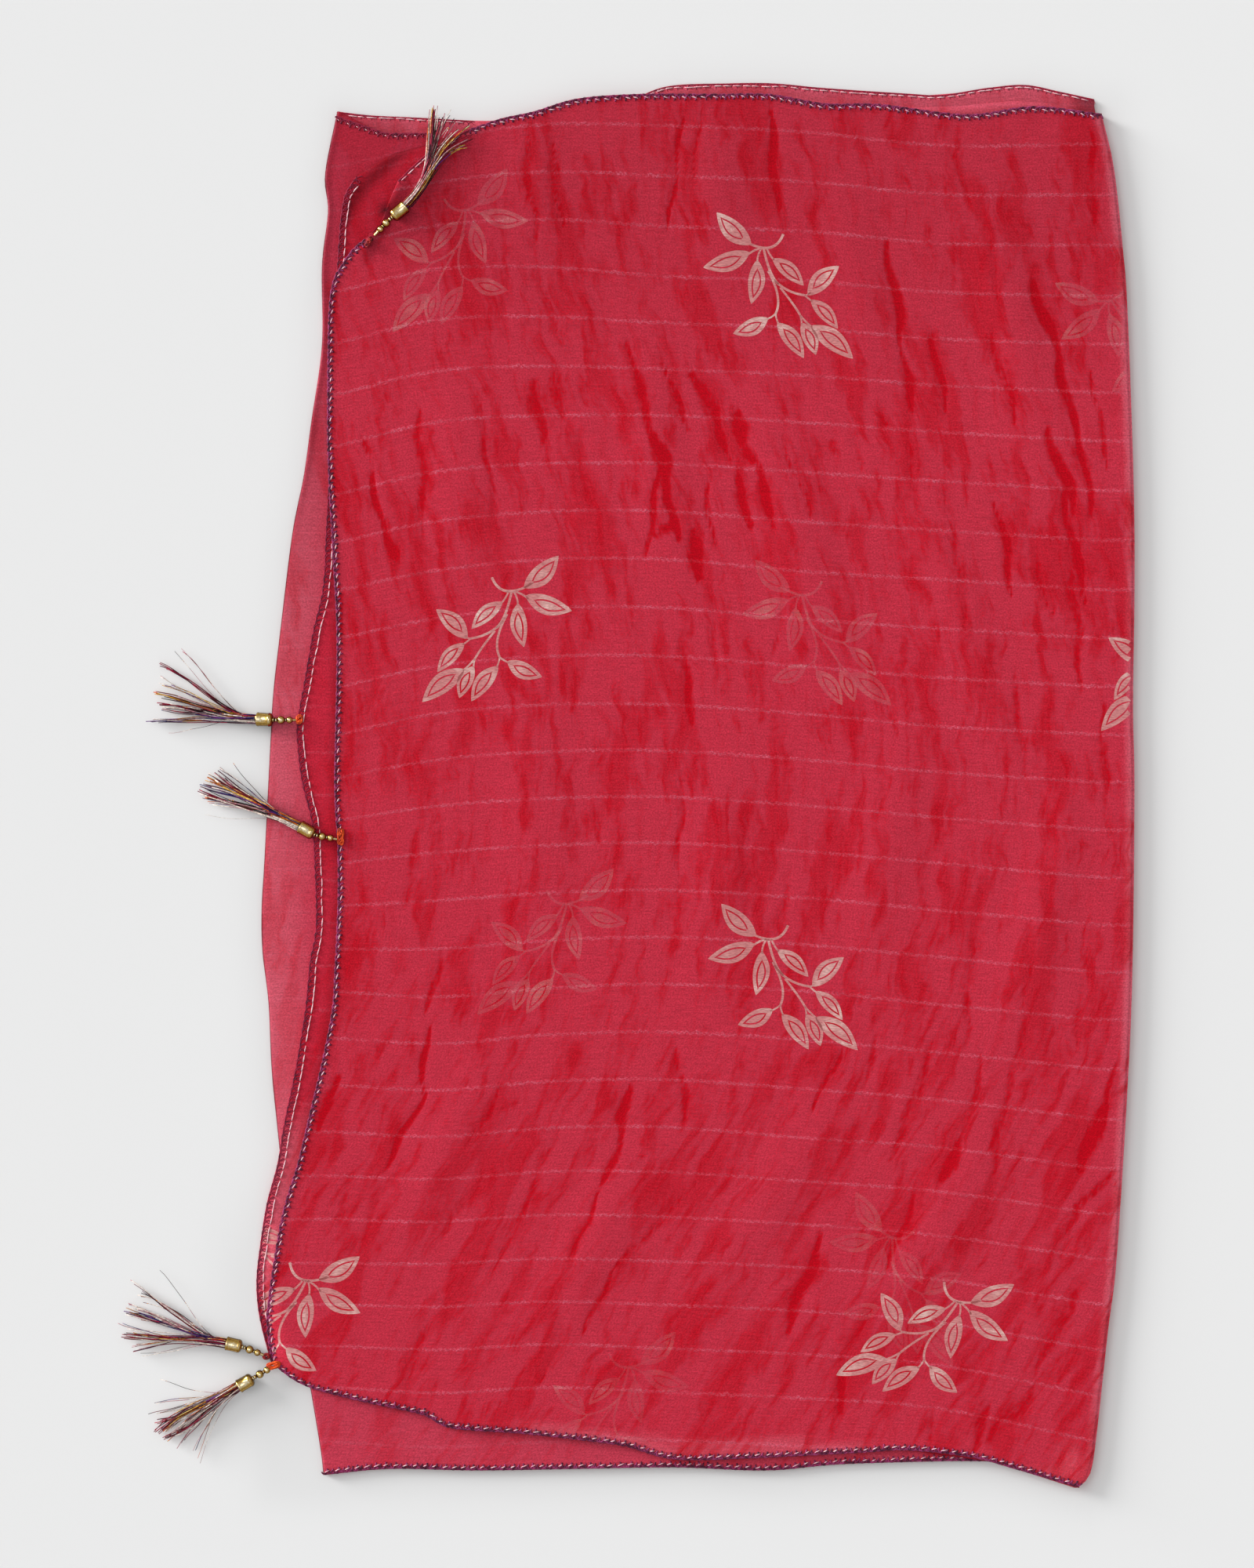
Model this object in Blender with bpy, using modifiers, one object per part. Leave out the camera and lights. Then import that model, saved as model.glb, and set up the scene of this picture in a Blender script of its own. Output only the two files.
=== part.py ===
"""Tasselled scarf, folded twice and laid flat.

Metres, +Z up. The scarf lies on z = 0 with the fold at +X and the two hemmed ends at -X, and the
origin is under the middle of its bounding box. Sizes in the tables are millimetres.
"""

import math

import bmesh
import bpy
import numpy as np
from mathutils import Vector

MM = 0.001
COLLECTION = "Folded_tasselled_scarf"

# Cloth walls and how they are stacked. Where the cloth reaches past the two lowest layers it droops to
# the floor, from DROOP_START to DROOP_REACH outside their fold.
WALL = 1.0
CLEARANCE = 0.4
UNDER_HEIGHT = 3.0
UNDER_ROUNDING = 1.35
LOWER_LEAF_HEIGHT = 1.4
UNDER_SIDE_CLEARANCE = 0.9
HEM_STEP = 2.5
LEAF_FOLD_STEP = 1.0
LEAF_CORNER_STEP = 2.0
ROUNDED_ANGLE = 60
LAYER_PITCH = WALL + CLEARANCE
DROOP_START = 5.5
DROOP_REACH = 25.0
DROOP_LOOSENESS = 0.8

# Fold at the right, where the top panel turns down to the lowest layer
FOLD_TOP_Z = UNDER_HEIGHT + CLEARANCE + 0.5 * WALL + LAYER_PITCH
FOLD_BOTTOM_Z = 0.5 * WALL
FOLD_RADIUS = 0.5 * (FOLD_TOP_Z - FOLD_BOTTOM_Z)
FOLD_INSET = FOLD_RADIUS + 0.5 * WALL
FOLD_STEPS = 6

# Grid spacing of the panels: close at the hems, where the cloth droops to the floor
HEM_BAND = 40.0
HEM_BAND_CELLS = 10
TOP_PANEL_CELLS = 22
SECOND_PANEL_CELLS = 6
PANEL_ROWS = 28
SECOND_PANEL_ROWS = 26
OUTLINE_STEPS = 20
CURVE_STEPS = 8

# Edges seen from above, each row an (x, y) in millimetres.
# Left and right edges run from the bottom up, top and bottom edges from the left.
RIGHT_FOLD = (
    (296, -460), (301, -455), (306, -439), (315, -359), (321, -308), (329, -179), (331.5, -102),
    (332.5, 0), (331.5, 52), (332.5, 124), (332, 196), (328, 309), (325, 350), (319, 404), (311, 439),
)
TOP_LEFT_HEM = (
    (-233, -379), (-236, -355), (-235, -338), (-231, -310), (-225, -278), (-215.5, -247), (-209, -220),
    (-199, -178), (-193, -146), (-191.5, -123), (-189.5, -81), (-189.5, -41), (-191.5, 1), (-190, 93),
    (-193, 155), (-196, 216), (-196, 278), (-195, 314), (-192, 331), (-187, 340), (-180, 350),
    (-172, 357), (-162, 366), (-156, 381), (-150, 395),
)
TOP_UPPER_HEM = (
    (-150, 395), (-139, 406), (-123, 419), (-103, 429), (-82, 436), (-61, 440.5), (-32, 449), (10, 452),
    (59, 452), (93, 452), (129, 446), (164, 445.5), (206, 440), (230, 439), (267, 444), (311, 439),
)
TOP_LOWER_HEM = (
    (-233, -379), (-211, -393), (-176, -403), (-135, -412), (-115, -421), (-70, -424.5), (-29, -429),
    (-1, -433), (32, -441.5), (84, -440.5), (153, -437), (183, -435.5), (225, -440), (255, -448),
    (296, -460),
)
SECOND_LEFT_HEM = (
    (-234, -377), (-241, -349), (-243, -325), (-240, -298), (-236, -274), (-229, -248), (-225, -223),
    (-217, -184), (-211, -147), (-208, -116), (-204, -92), (-205, -51), (-207, -23), (-213, 1),
    (-216, 25), (-216, 42), (-211, 71), (-206, 100), (-199.5, 129), (-197.5, 164), (-195, 216),
    (-193, 290), (-190, 340), (-188, 368), (-185, 386), (-177, 399),
)
SECOND_UPPER_EDGE = (
    (-177, 399), (-155, 412), (-131, 419), (-90, 430), (-30, 443), (60, 447), (200, 435), (305, 434),
)
SECOND_LOWER_EDGE = (
    (-234, -377), (-176, -398), (-77, -416), (10, -425), (31, -431), (103, -428), (154, -432), (290, -450),
)
SECOND_RIGHT_EDGE = ((290, -450), (322, -250), (325, 0), (322, 250), (305, 434))
CENTRE_FOLD = (
    (-199, -452), (-201, -435), (-208, -393), (-216, -349), (-229, -227), (-233, -186), (-235, -143),
    (-239, -109), (-239.5, -81), (-237.5, -46), (-234, 23), (-232, 59), (-228, 95), (-219.5, 164),
    (-212, 202), (-207, 238), (-200, 288), (-200, 340), (-196, 376), (-198, 400), (-190, 441),
)
UNDER_LOWER_HEM = (
    (-199, -452), (-156, -448), (-98, -449), (-36, -448), (32, -447), (91, -449), (139, -445),
    (204, -443), (240, -443), (291, -455),
)
LOWEST_UPPER_HEM = (
    (-190, 441), (-167, 438.5), (-136, 437), (-100, 435), (-60, 437), (0, 447), (26, 457.5), (66, 459.5),
    (96, 459.5), (129, 456.5), (181, 453), (206, 452), (236, 456.5), (261, 458.5), (284, 454), (307, 449),
)
THIRD_UPPER_HEM = (
    (-190, 438), (-167, 430), (-156, 427), (-128, 427), (-60, 433), (0, 442), (60, 450), (129, 447),
    (206, 444), (261, 448), (304, 440),
)

# Long soft folds that stand up from the top panel: middle, length, lean from +Y, half width, height
SOFT_FOLD_COLUMNS = ("x", "y", "length", "lean", "width", "height")
SOFT_FOLDS = (
    (-60, 395, 150, 4, 17, 1.3),
    (60, 385, 170, 5, 19, 1.6),
    (150, 330, 200, 12, 18, 1.4),
    (255, 300, 260, 14, 19, 1.9),
    (20, 210, 230, 9, 17, 1.5),
    (110, 170, 260, 16, 20, 1.7),
    (215, 120, 260, 18, 18, 1.3),
    (-110, 200, 210, 6, 20, 1.4),
    (-60, -20, 260, 1, 22, 1.3),
    (60, -60, 240, -6, 19, 1.5),
    (170, -40, 230, -10, 21, 1.6),
    (270, -90, 240, -14, 18, 1.8),
    (-120, -240, 200, -28, 18, 1.6),
    (-20, -300, 210, -31, 20, 1.8),
    (95, -270, 230, -33, 19, 1.6),
    (205, -290, 220, -30, 20, 1.7),
)
# The soft folds flatten out near the outer fold, and over this band from the upper end of the left hem
FOLD_LEVEL = {"past": 10.0, "band": 30.0}
HEM_LEVEL = {"before": 60.0, "band": 40.0}
# A fold's ridge is drawn this much wider than its half width, because its sides fade out
RIDGE_SPREAD = 1.6
# The curled corner at the upper left: a roll along the line from its foot to its head, which reaches
# past both by "overrun" and fades out over "fade"
CORNER_ROLL = {"foot": (-176, 350), "head": (-150, 396), "width": 4.0, "height": 1.6, "overrun": 8.0,
               "fade": 12.0}

# Tassels: middle of the knot on the hem, closed end and mouth of the brass bell, bend and end of the
# threads' route, each as (x, y, z), and the half width that the threads spread to.
TASSEL_COLUMNS = ("knot", "bell_top", "bell_mouth", "bend", "end", "spread")
TASSELS = (
    ((-166.5, 357.7, 8.8), (-154.2, 370.1, 11.2), (-145.0, 377.8, 10.6), (-130, 398, 10.2),
     (-124, 434, 8.9), 11),
    ((-214.8, 42.4, 5.7), (-230.8, 42.4, 7.8), (-242.0, 42.9, 5.4), (-262, 48, 4.6),
     (-307, 63, 2.9), 22),
    ((-187.9, -36, 7.1), (-203.8, -32.9, 9.2), (-213.8, -27.4, 8.6), (-236, -16, 7.8),
     (-276, 1, 3.2), 14),
    ((-236.1, -374.2, 3.3), (-251.3, -368.0, 4.9), (-262.4, -365.5, 4.8), (-280, -361, 4.2),
     (-321, -351, 2.9), 20),
    ((-231.6, -380.6, 5.3), (-244.3, -388.1, 4.9), (-254.2, -393.8, 4.8), (-272, -404, 4.2),
     (-305, -421, 2.9), 15),
)
KNOT_SIZE = (2.3, 1.7, 1.2)
KNOT_SEGMENTS = (10, 6)
BELL_RADIUS = 4.3
BELL_WALL = 0.6
BELL_NECK = 1.5
# The bell's outside below its closed end: (share of its radius, distance from the closed end)
BELL_SHOULDER = (0.82, 1.6)
BELL_SHOULDER_END = 2.6
BELL_NECK_STEP = (0.3, 0.8)
BELL_WAIST = (0.97, 0.45)
BELL_RIM = 0.5
BELL_INNER_END = 2.8
BEAD_RADII = (2.2, 2.6)
BEAD_START = 1.2
BEAD_GAP = 0.3
BEAD_STEPS = 6
POLE_SHARE = 0.98
THREAD_RADIUS = 0.55
GAP = 0.3
HEAD_LENGTH = 3.0
HEAD_SIDES = 16
HEAD_DEPTH = 1.2
TURN_STEPS = 16
STRANDS = 22
STRAND_RADIUS = 0.36
STRAND_POINTS = 5
STRAIGHT_START = 8.0
STRAND_START_DEPTH = 1.8
STRAND_SPACE = 0.25
STRAND_END_SQUASH = 0.42
STRAND_LENGTH_SPREAD = 0.10
STRAND_LENGTH_TURN = 2.4
SPREAD_POWER = 1.3
GOLDEN_ANGLE = math.pi * (3.0 - math.sqrt(5.0))
MERGE_DISTANCE = 0.00001


def clear_scene():
    """Removes every object of the open file."""
    for item in list(bpy.data.objects):
        bpy.data.objects.remove(item, do_unlink=True)


def principled(name, colour, roughness, metallic=0.0):
    """A plain Principled material with its own colour."""
    material = bpy.data.materials.new(name)
    material.use_nodes = True
    shader = material.node_tree.nodes["Principled BSDF"]
    shader.inputs["Base Color"].default_value = (*colour, 1.0)
    shader.inputs["Roughness"].default_value = roughness
    shader.inputs["Metallic"].default_value = metallic
    return material


def add_object(collection, name, mesh, material):
    """Puts a mesh into the scarf's collection under its node's name."""
    item = bpy.data.objects.new(name, mesh)
    item.data.materials.append(material)
    collection.objects.link(item)
    return item


def along_edge(points, fractions):
    """Catmull-Rom curve through an edge's points, read at fractions of its length."""
    knots = np.array(points, dtype=float)
    padded = np.vstack([2 * knots[0] - knots[1], knots, 2 * knots[-1] - knots[-2]])
    steps = np.linspace(0.0, 1.0, CURVE_STEPS + 1)[:-1][:, None]
    pieces = []
    for before, start, end, after in zip(padded, padded[1:], padded[2:], padded[3:]):
        pieces.append(0.5 * (2 * start + (end - before) * steps
                             + (2 * before - 5 * start + 4 * end - after) * steps ** 2
                             + (3 * start - before - 3 * end + after) * steps ** 3))
    curve = np.vstack(pieces + [knots[-1:]])
    length = np.concatenate([[0.0], np.cumsum(np.linalg.norm(np.diff(curve, axis=0), axis=1))])
    length /= length[-1]
    return np.column_stack([np.interp(fractions, length, curve[:, axis]) for axis in (0, 1)])


def panel_places(left, right, lower, upper, across, up):
    """Coons patch: the sum of the two ruled surfaces between opposite edges, less the corners' one."""
    u = across[None, :, None]
    v = up[:, None, None]
    left_points = along_edge(left, up)[:, None, :]
    right_points = along_edge(right, up)[:, None, :]
    lower_points = along_edge(lower, across)[None, :, :]
    upper_points = along_edge(upper, across)[None, :, :]
    corners = ((1 - u) * (1 - v) * lower_points[:, :1] + u * (1 - v) * lower_points[:, -1:]
               + (1 - u) * v * upper_points[:, :1] + u * v * upper_points[:, -1:])
    return (1 - u) * left_points + u * right_points + (1 - v) * lower_points + v * upper_points - corners


def smooth_step(value):
    """Rises from 0 to 1 with level ends: 3 t squared minus 2 t cubed."""
    limited = np.clip(value, 0.0, 1.0)
    return limited * limited * (3.0 - 2.0 * limited)


def on_under_fold(x, y):
    """1 over the two lowest layers, 0 where the cloth has drooped past their fold to the floor."""
    edge = np.array(CENTRE_FOLD, dtype=float)
    inside = x - np.interp(y, edge[:, 1], edge[:, 0])
    return smooth_step((inside + DROOP_REACH) / (DROOP_REACH - DROOP_START))


def bump(along, across, length, width):
    """A soft ridge: 1 in the middle, 0 beyond its length and width."""
    lengthwise = smooth_step(1.0 - np.abs(along) / (0.5 * length))
    return lengthwise * smooth_step(1.0 - np.abs(across) / width)


def soft_fold_height(x, y):
    """Height of the soft folds of the top panel, the highest one counting where two meet."""
    height = np.zeros_like(x)
    for row in SOFT_FOLDS:
        fold = dict(zip(SOFT_FOLD_COLUMNS, row))
        lean = math.radians(fold["lean"])
        dx = x - fold["x"]
        dy = y - fold["y"]
        along = dy * math.cos(lean) - dx * math.sin(lean)
        across = dx * math.cos(lean) + dy * math.sin(lean)
        ridge = fold["height"] * bump(along, across, fold["length"], fold["width"] * RIDGE_SPREAD)
        height = np.maximum(height, ridge)
    return height


def corner_roll_height(x, y):
    """Height of the roll where the upper left corner has curled under."""
    foot = np.array(CORNER_ROLL["foot"], dtype=float)
    head = np.array(CORNER_ROLL["head"], dtype=float)
    span = np.linalg.norm(head - foot)
    line = (head - foot) / span
    along = (x - foot[0]) * line[0] + (y - foot[1]) * line[1]
    across = (x - foot[0]) * line[1] - (y - foot[1]) * line[0]
    near = smooth_step(1.0 - np.abs(across - CORNER_ROLL["width"]) / (2 * CORNER_ROLL["width"]))
    foot_end = smooth_step((along + CORNER_ROLL["overrun"]) / CORNER_ROLL["fade"])
    head_end = smooth_step((span + CORNER_ROLL["overrun"] - along) / CORNER_ROLL["fade"])
    return CORNER_ROLL["height"] * near * foot_end * head_end


def grid_mesh(name, x, y, z):
    """An open surface from a grid of places, its faces looking up."""
    rows, columns = x.shape
    places = np.stack([x, y, z], axis=2).reshape(-1, 3) * MM
    index = np.arange(rows * columns).reshape(rows, columns)
    quads = np.stack([index[:-1, :-1], index[:-1, 1:], index[1:, 1:], index[1:, :-1]], axis=2)
    mesh = bpy.data.meshes.new(name)
    mesh.from_pydata(places.tolist(), [], quads.reshape(-1, 4).tolist())
    mesh.shade_smooth()
    return mesh


def give_wall(item):
    """Turns an open surface at the middle of the cloth into a wall."""
    wall = item.modifiers.new("Cloth wall", "SOLIDIFY")
    wall.thickness = WALL * MM
    wall.offset = 0.0
    wall.use_even_offset = True
    wall.use_quality_normals = True


def fractions_across(width, cells):
    """Fractions across a panel: close together over the band at the left hem."""
    band = HEM_BAND / width
    return np.concatenate([np.linspace(0.0, band, HEM_BAND_CELLS + 1),
                           np.linspace(band, 1.0, cells + 1)[1:]])


def inset_right(edge):
    """The right fold moved in to where its bend starts."""
    return tuple((x - FOLD_INSET, y) for x, y in edge)


def end_at(edge, last):
    """An edge whose last point is replaced, so that it meets the next edge."""
    return edge[:-1] + (last,)


def make_top_panel(collection, cloth):
    """The layer on top, with soft folds, a rolled corner and the outer fold bent down at the right."""
    tangent = inset_right(RIGHT_FOLD)
    lower = end_at(TOP_LOWER_HEM, tangent[0])
    upper = end_at(TOP_UPPER_HEM, tangent[-1])
    up = np.linspace(0.0, 1.0, PANEL_ROWS + 1)
    across = fractions_across(tangent[-1][0] - TOP_UPPER_HEM[0][0], TOP_PANEL_CELLS)
    places = panel_places(TOP_LEFT_HEM, tangent, lower, upper, across, up)
    x, y = places[:, :, 0], places[:, :, 1]
    held = on_under_fold(x, y)
    z = held * (UNDER_HEIGHT + CLEARANCE) + 0.5 * WALL + LAYER_PITCH
    z = z + DROOP_LOOSENESS * 4 * held * (1 - held)
    at_fold = smooth_step((tangent[-1][0] + FOLD_LEVEL["past"] - x) / FOLD_LEVEL["band"])
    at_hem = smooth_step((x - TOP_LEFT_HEM[-1][0] + HEM_LEVEL["before"]) / HEM_LEVEL["band"])
    z = z + soft_fold_height(x, y) * at_fold * at_hem + corner_roll_height(x, y)
    z[:, -1] = FOLD_TOP_Z
    turn = np.linspace(0.0, math.pi, FOLD_STEPS + 1)[1:]
    bend_x = x[:, -1:] + FOLD_RADIUS * np.sin(turn)[None, :]
    bend_y = np.repeat(y[:, -1:], FOLD_STEPS, axis=1)
    bend_z = FOLD_BOTTOM_Z + FOLD_RADIUS * (1 + np.cos(turn))[None, :] + np.zeros_like(bend_x)
    mesh = grid_mesh("top_panel", np.hstack([x, bend_x]), np.hstack([y, bend_y]), np.hstack([z, bend_z]))
    give_wall(add_object(collection, "top_panel", mesh, cloth))


def make_second_panel(collection, cloth):
    """The layer under it, which shows at the left and along the lower hem."""
    right = SECOND_RIGHT_EDGE
    up = np.linspace(0.0, 1.0, SECOND_PANEL_ROWS + 1)
    across = fractions_across(right[-1][0] - SECOND_UPPER_EDGE[0][0], SECOND_PANEL_CELLS)
    places = panel_places(SECOND_LEFT_HEM, right, SECOND_LOWER_EDGE, SECOND_UPPER_EDGE, across, up)
    x, y = places[:, :, 0], places[:, :, 1]
    z = on_under_fold(x, y) * (UNDER_HEIGHT + CLEARANCE) + 0.5 * WALL
    give_wall(add_object(collection, "second_panel", grid_mesh("second_panel", x, y, z), cloth))


def outline_points(left, right, lower, upper):
    """The corner-to-corner outline of a leaf, anticlockwise from its lower left."""
    along = np.linspace(0.0, 1.0, OUTLINE_STEPS + 1)
    bottom = along_edge(lower, along)
    right_side = along_edge(right, along)
    top = along_edge(upper, along)[::-1]
    left_side = along_edge(left, along)[::-1]
    return np.vstack([bottom[:-1], right_side[:-1], top[:-1], left_side[:-1]])


def leaf(collection, name, outline, height, material):
    """A flat outline raised from the floor to a height."""
    shape = bmesh.new()
    corners = [shape.verts.new((x * MM, y * MM, 0.0)) for x, y in outline]
    face = shape.faces.new(corners)
    raised = bmesh.ops.extrude_face_region(shape, geom=[face])
    moved = [part for part in raised["geom"] if isinstance(part, bmesh.types.BMVert)]
    bmesh.ops.translate(shape, verts=moved, vec=(0.0, 0.0, height * MM))
    bmesh.ops.recalc_face_normals(shape, faces=shape.faces)
    mesh = bpy.data.meshes.new(name)
    shape.to_mesh(mesh)
    shape.free()
    return add_object(collection, name, mesh, material)


def make_under_fold(collection, cutters, cloth):
    """The two lowest layers as one rounded solid, the lowest one standing out at both hems."""
    right = tuple((x - FOLD_INSET - UNDER_SIDE_CLEARANCE, y) for x, y in RIGHT_FOLD)
    upper = end_at(THIRD_UPPER_HEM, right[-1])
    lower = end_at(UNDER_LOWER_HEM, right[0])
    left = end_at(CENTRE_FOLD, THIRD_UPPER_HEM[0])
    shorter = tuple((x, y + HEM_STEP) for x, y in lower)
    shorter_left = tuple((x, max(y, shorter[0][1])) for x, y in left)
    shorter_right = tuple((x, max(y, shorter[-1][1])) for x, y in right)
    outline = outline_points(shorter_left, shorter_right, shorter, upper)
    body = leaf(collection, "under_fold", outline, UNDER_HEIGHT, cloth)
    rounding = body.modifiers.new("Rounded folds", "BEVEL")
    rounding.width = UNDER_ROUNDING * MM
    rounding.segments = 2
    rounding.limit_method = "ANGLE"
    rounding.angle_limit = math.radians(ROUNDED_ANGLE)
    leaf_left = tuple((x + LEAF_FOLD_STEP, y) for x, y in CENTRE_FOLD)
    leaf_lower = (leaf_left[0],) + UNDER_LOWER_HEM[1:-1] + (right[0],)
    leaf_corner = (right[-1][0] - LEAF_CORNER_STEP, LOWEST_UPPER_HEM[-1][1])
    leaf_upper = (leaf_left[-1],) + LOWEST_UPPER_HEM[1:-1] + (leaf_corner,)
    leaf_outline = outline_points(leaf_left, right + (leaf_corner,), leaf_lower, leaf_upper)
    lowest = leaf(cutters, "lowest_leaf", leaf_outline, LOWER_LEAF_HEIGHT, cloth)
    lowest.hide_render = True
    lowest.display_type = "WIRE"
    joined = body.modifiers.new("Lowest leaf", "BOOLEAN")
    joined.operation = "UNION"
    joined.object = lowest


def aim(item, place, direction):
    """Stands an object's local +Z along a direction at a place in millimetres."""
    item.location = Vector(place) * MM
    item.rotation_mode = "QUATERNION"
    item.rotation_quaternion = Vector(direction).to_track_quat("Z", "Y")


def turned(collection, name, profile, material):
    """A profile of (radius, height) rows spun about local Z, outer side from the top down."""
    mesh = bpy.data.meshes.new(name)
    points = [(radius * MM, 0.0, height * MM) for radius, height in profile]
    mesh.from_pydata(points, [(n, n + 1) for n in range(len(points) - 1)], [])
    item = add_object(collection, name, mesh, material)
    spin = item.modifiers.new("Turned", "SCREW")
    spin.steps = TURN_STEPS
    spin.render_steps = TURN_STEPS
    spin.use_merge_vertices = True
    spin.merge_threshold = MERGE_DISTANCE
    spin.use_smooth_shade = True
    return item


def half_round(radius, centre):
    """Profile rows of a ball from just under its top pole to just over its lower pole."""
    angles = np.linspace(0.0, math.pi, BEAD_STEPS + 1)[1:-1]
    return [(radius * math.sin(angle), centre + radius * math.cos(angle)) for angle in angles]


def make_bell(collection, number, tassel, brass):
    """The hollow brass bell over the head of the threads. Returns its inner radius and its length."""
    top = np.array(tassel["bell_top"], dtype=float)
    mouth = np.array(tassel["bell_mouth"], dtype=float)
    length = float(np.linalg.norm(mouth - top))
    inner = BELL_RADIUS - BELL_WALL
    profile = [
        (0.0, length), (BELL_NECK, length), (BELL_NECK + BELL_NECK_STEP[0], length - BELL_NECK_STEP[1]),
        (BELL_RADIUS * BELL_SHOULDER[0], length - BELL_SHOULDER[1]),
        (BELL_RADIUS, length - BELL_SHOULDER_END), (BELL_RADIUS * BELL_WAIST[0], length * BELL_WAIST[1]),
        (BELL_RADIUS, BELL_RIM), (BELL_RADIUS, 0.0), (inner, 0.0), (inner, length - BELL_INNER_END),
        (0.0, length - BELL_INNER_END),
    ]
    item = turned(collection, f"tassel_{number}_cap", profile, brass)
    aim(item, mouth, top - mouth)
    return inner, length


def make_beads(collection, number, tassel, brass):
    """Two brass beads and the thread that they hang on, from the knot to the bell."""
    knot = np.array(tassel["knot"], dtype=float)
    top = np.array(tassel["bell_top"], dtype=float)
    line = knot - top
    distance = float(np.linalg.norm(line))
    length = distance - KNOT_SIZE[0] - 2 * GAP
    lower, upper = BEAD_RADII[1], BEAD_RADII[0]
    first = BEAD_START + lower
    second = first + lower + upper + BEAD_GAP
    profile = [(0.0, length), (THREAD_RADIUS, length), (THREAD_RADIUS, second + upper * POLE_SHARE)]
    profile += half_round(upper, second)
    profile += half_round(lower, first)
    profile += [(THREAD_RADIUS, first - lower * POLE_SHARE), (THREAD_RADIUS, 0.0), (0.0, 0.0)]
    item = turned(collection, f"tassel_{number}_beads", profile, brass)
    aim(item, top + line / distance * GAP, line)


def make_knot(collection, number, tassel, thread):
    """The orange thread knot that ties the tassel to the hem."""
    shape = bmesh.new()
    around, rings = KNOT_SEGMENTS
    bmesh.ops.create_uvsphere(shape, u_segments=around, v_segments=rings, radius=1.0)
    bmesh.ops.scale(shape, vec=[size * MM for size in KNOT_SIZE], verts=shape.verts)
    mesh = bpy.data.meshes.new(f"tassel_{number}_knot")
    shape.to_mesh(mesh)
    shape.free()
    mesh.shade_smooth()
    item = add_object(collection, f"tassel_{number}_knot", mesh, thread)
    item.location = Vector(tassel["knot"]) * MM


def strand_routes(tassel, inner, length):
    """Routes of the threads: one spread stretches the head's rows sideways and flattens them.

    Every thread keeps its place in the head's pattern, so no two of them cross.
    """
    top = np.array(tassel["bell_top"], dtype=float)
    mouth = np.array(tassel["bell_mouth"], dtype=float)
    bend = np.array(tassel["bend"], dtype=float)
    end = np.array(tassel["end"], dtype=float)
    axis = (mouth - top) / length
    side = np.cross((0.0, 0.0, 1.0), axis)
    side /= np.linalg.norm(side)
    rise = np.cross(axis, side)
    reach = inner - GAP - STRAND_RADIUS - STRAND_SPACE
    count = np.arange(STRANDS)
    ring = reach * np.sqrt((count + 0.5) / STRANDS)
    turn = count * GOLDEN_ANGLE
    sideways = ring * np.cos(turn)
    upwards = ring * np.sin(turn)
    longer = 1.0 + STRAND_LENGTH_SPREAD * np.sin(count * STRAND_LENGTH_TURN)
    start = mouth - axis * STRAND_START_DEPTH
    routes = []
    for number in count:
        points = []
        for step in np.linspace(0.0, 1.0, STRAND_POINTS):
            part = step * longer[number]
            rest = 1 - part
            middle = (rest ** 3 * start + 3 * rest ** 2 * part * (mouth + axis * STRAIGHT_START)
                      + 3 * rest * part ** 2 * bend + part ** 3 * end)
            ahead = smooth_step(part) ** SPREAD_POWER
            widen = 1.0 + ahead * (tassel["spread"] / reach - 1.0)
            squash = 1.0 - (1.0 - STRAND_END_SQUASH) * min(part, 1.0)
            points.append(middle + side * sideways[number] * widen + rise * upwards[number] * squash)
        routes.append(np.array(points))
    return routes


def make_strands(collection, cutters, number, tassel, inner, length, yarn):
    """The loose threads, fused into one plug inside the bell and apart from there on."""
    top = np.array(tassel["bell_top"], dtype=float)
    mouth = np.array(tassel["bell_mouth"], dtype=float)
    axis = (mouth - top) / length
    curve = bpy.data.curves.new(f"tassel_{number}_threads", "CURVE")
    curve.dimensions = "3D"
    curve.bevel_depth = STRAND_RADIUS * MM
    curve.bevel_resolution = 0
    curve.use_fill_caps = True
    for route in strand_routes(tassel, inner, length):
        spline = curve.splines.new("POLY")
        spline.points.add(len(route) - 1)
        for point, place in zip(spline.points, route):
            point.co = (*(place * MM), 1.0)
    threads_curve = bpy.data.objects.new(f"tassel_{number}_threads", curve)
    cutters.objects.link(threads_curve)
    bpy.context.view_layer.update()
    evaluated = threads_curve.evaluated_get(bpy.context.evaluated_depsgraph_get())
    mesh = bpy.data.meshes.new_from_object(evaluated)
    bpy.data.objects.remove(threads_curve)
    shape = bmesh.new()
    shape.from_mesh(mesh)
    bmesh.ops.remove_doubles(shape, verts=shape.verts, dist=MERGE_DISTANCE)
    bmesh.ops.recalc_face_normals(shape, faces=shape.faces)
    shape.to_mesh(mesh)
    shape.free()
    threads = add_object(cutters, f"tassel_{number}_thread_bundle", mesh, yarn)
    threads.hide_render = True
    threads.display_type = "WIRE"
    plug = bmesh.new()
    bmesh.ops.create_cone(plug, cap_ends=True, segments=HEAD_SIDES, radius1=(inner - GAP) * MM,
                          radius2=(inner - GAP) * MM, depth=HEAD_LENGTH * MM)
    head_mesh = bpy.data.meshes.new(f"tassel_{number}_strands")
    plug.to_mesh(head_mesh)
    plug.free()
    head = add_object(collection, f"tassel_{number}_strands", head_mesh, yarn)
    aim(head, mouth - axis * (HEAD_DEPTH + 0.5 * HEAD_LENGTH), -axis)
    fused = head.modifiers.new("Threads", "BOOLEAN")
    fused.operation = "UNION"
    fused.object = threads


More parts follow.
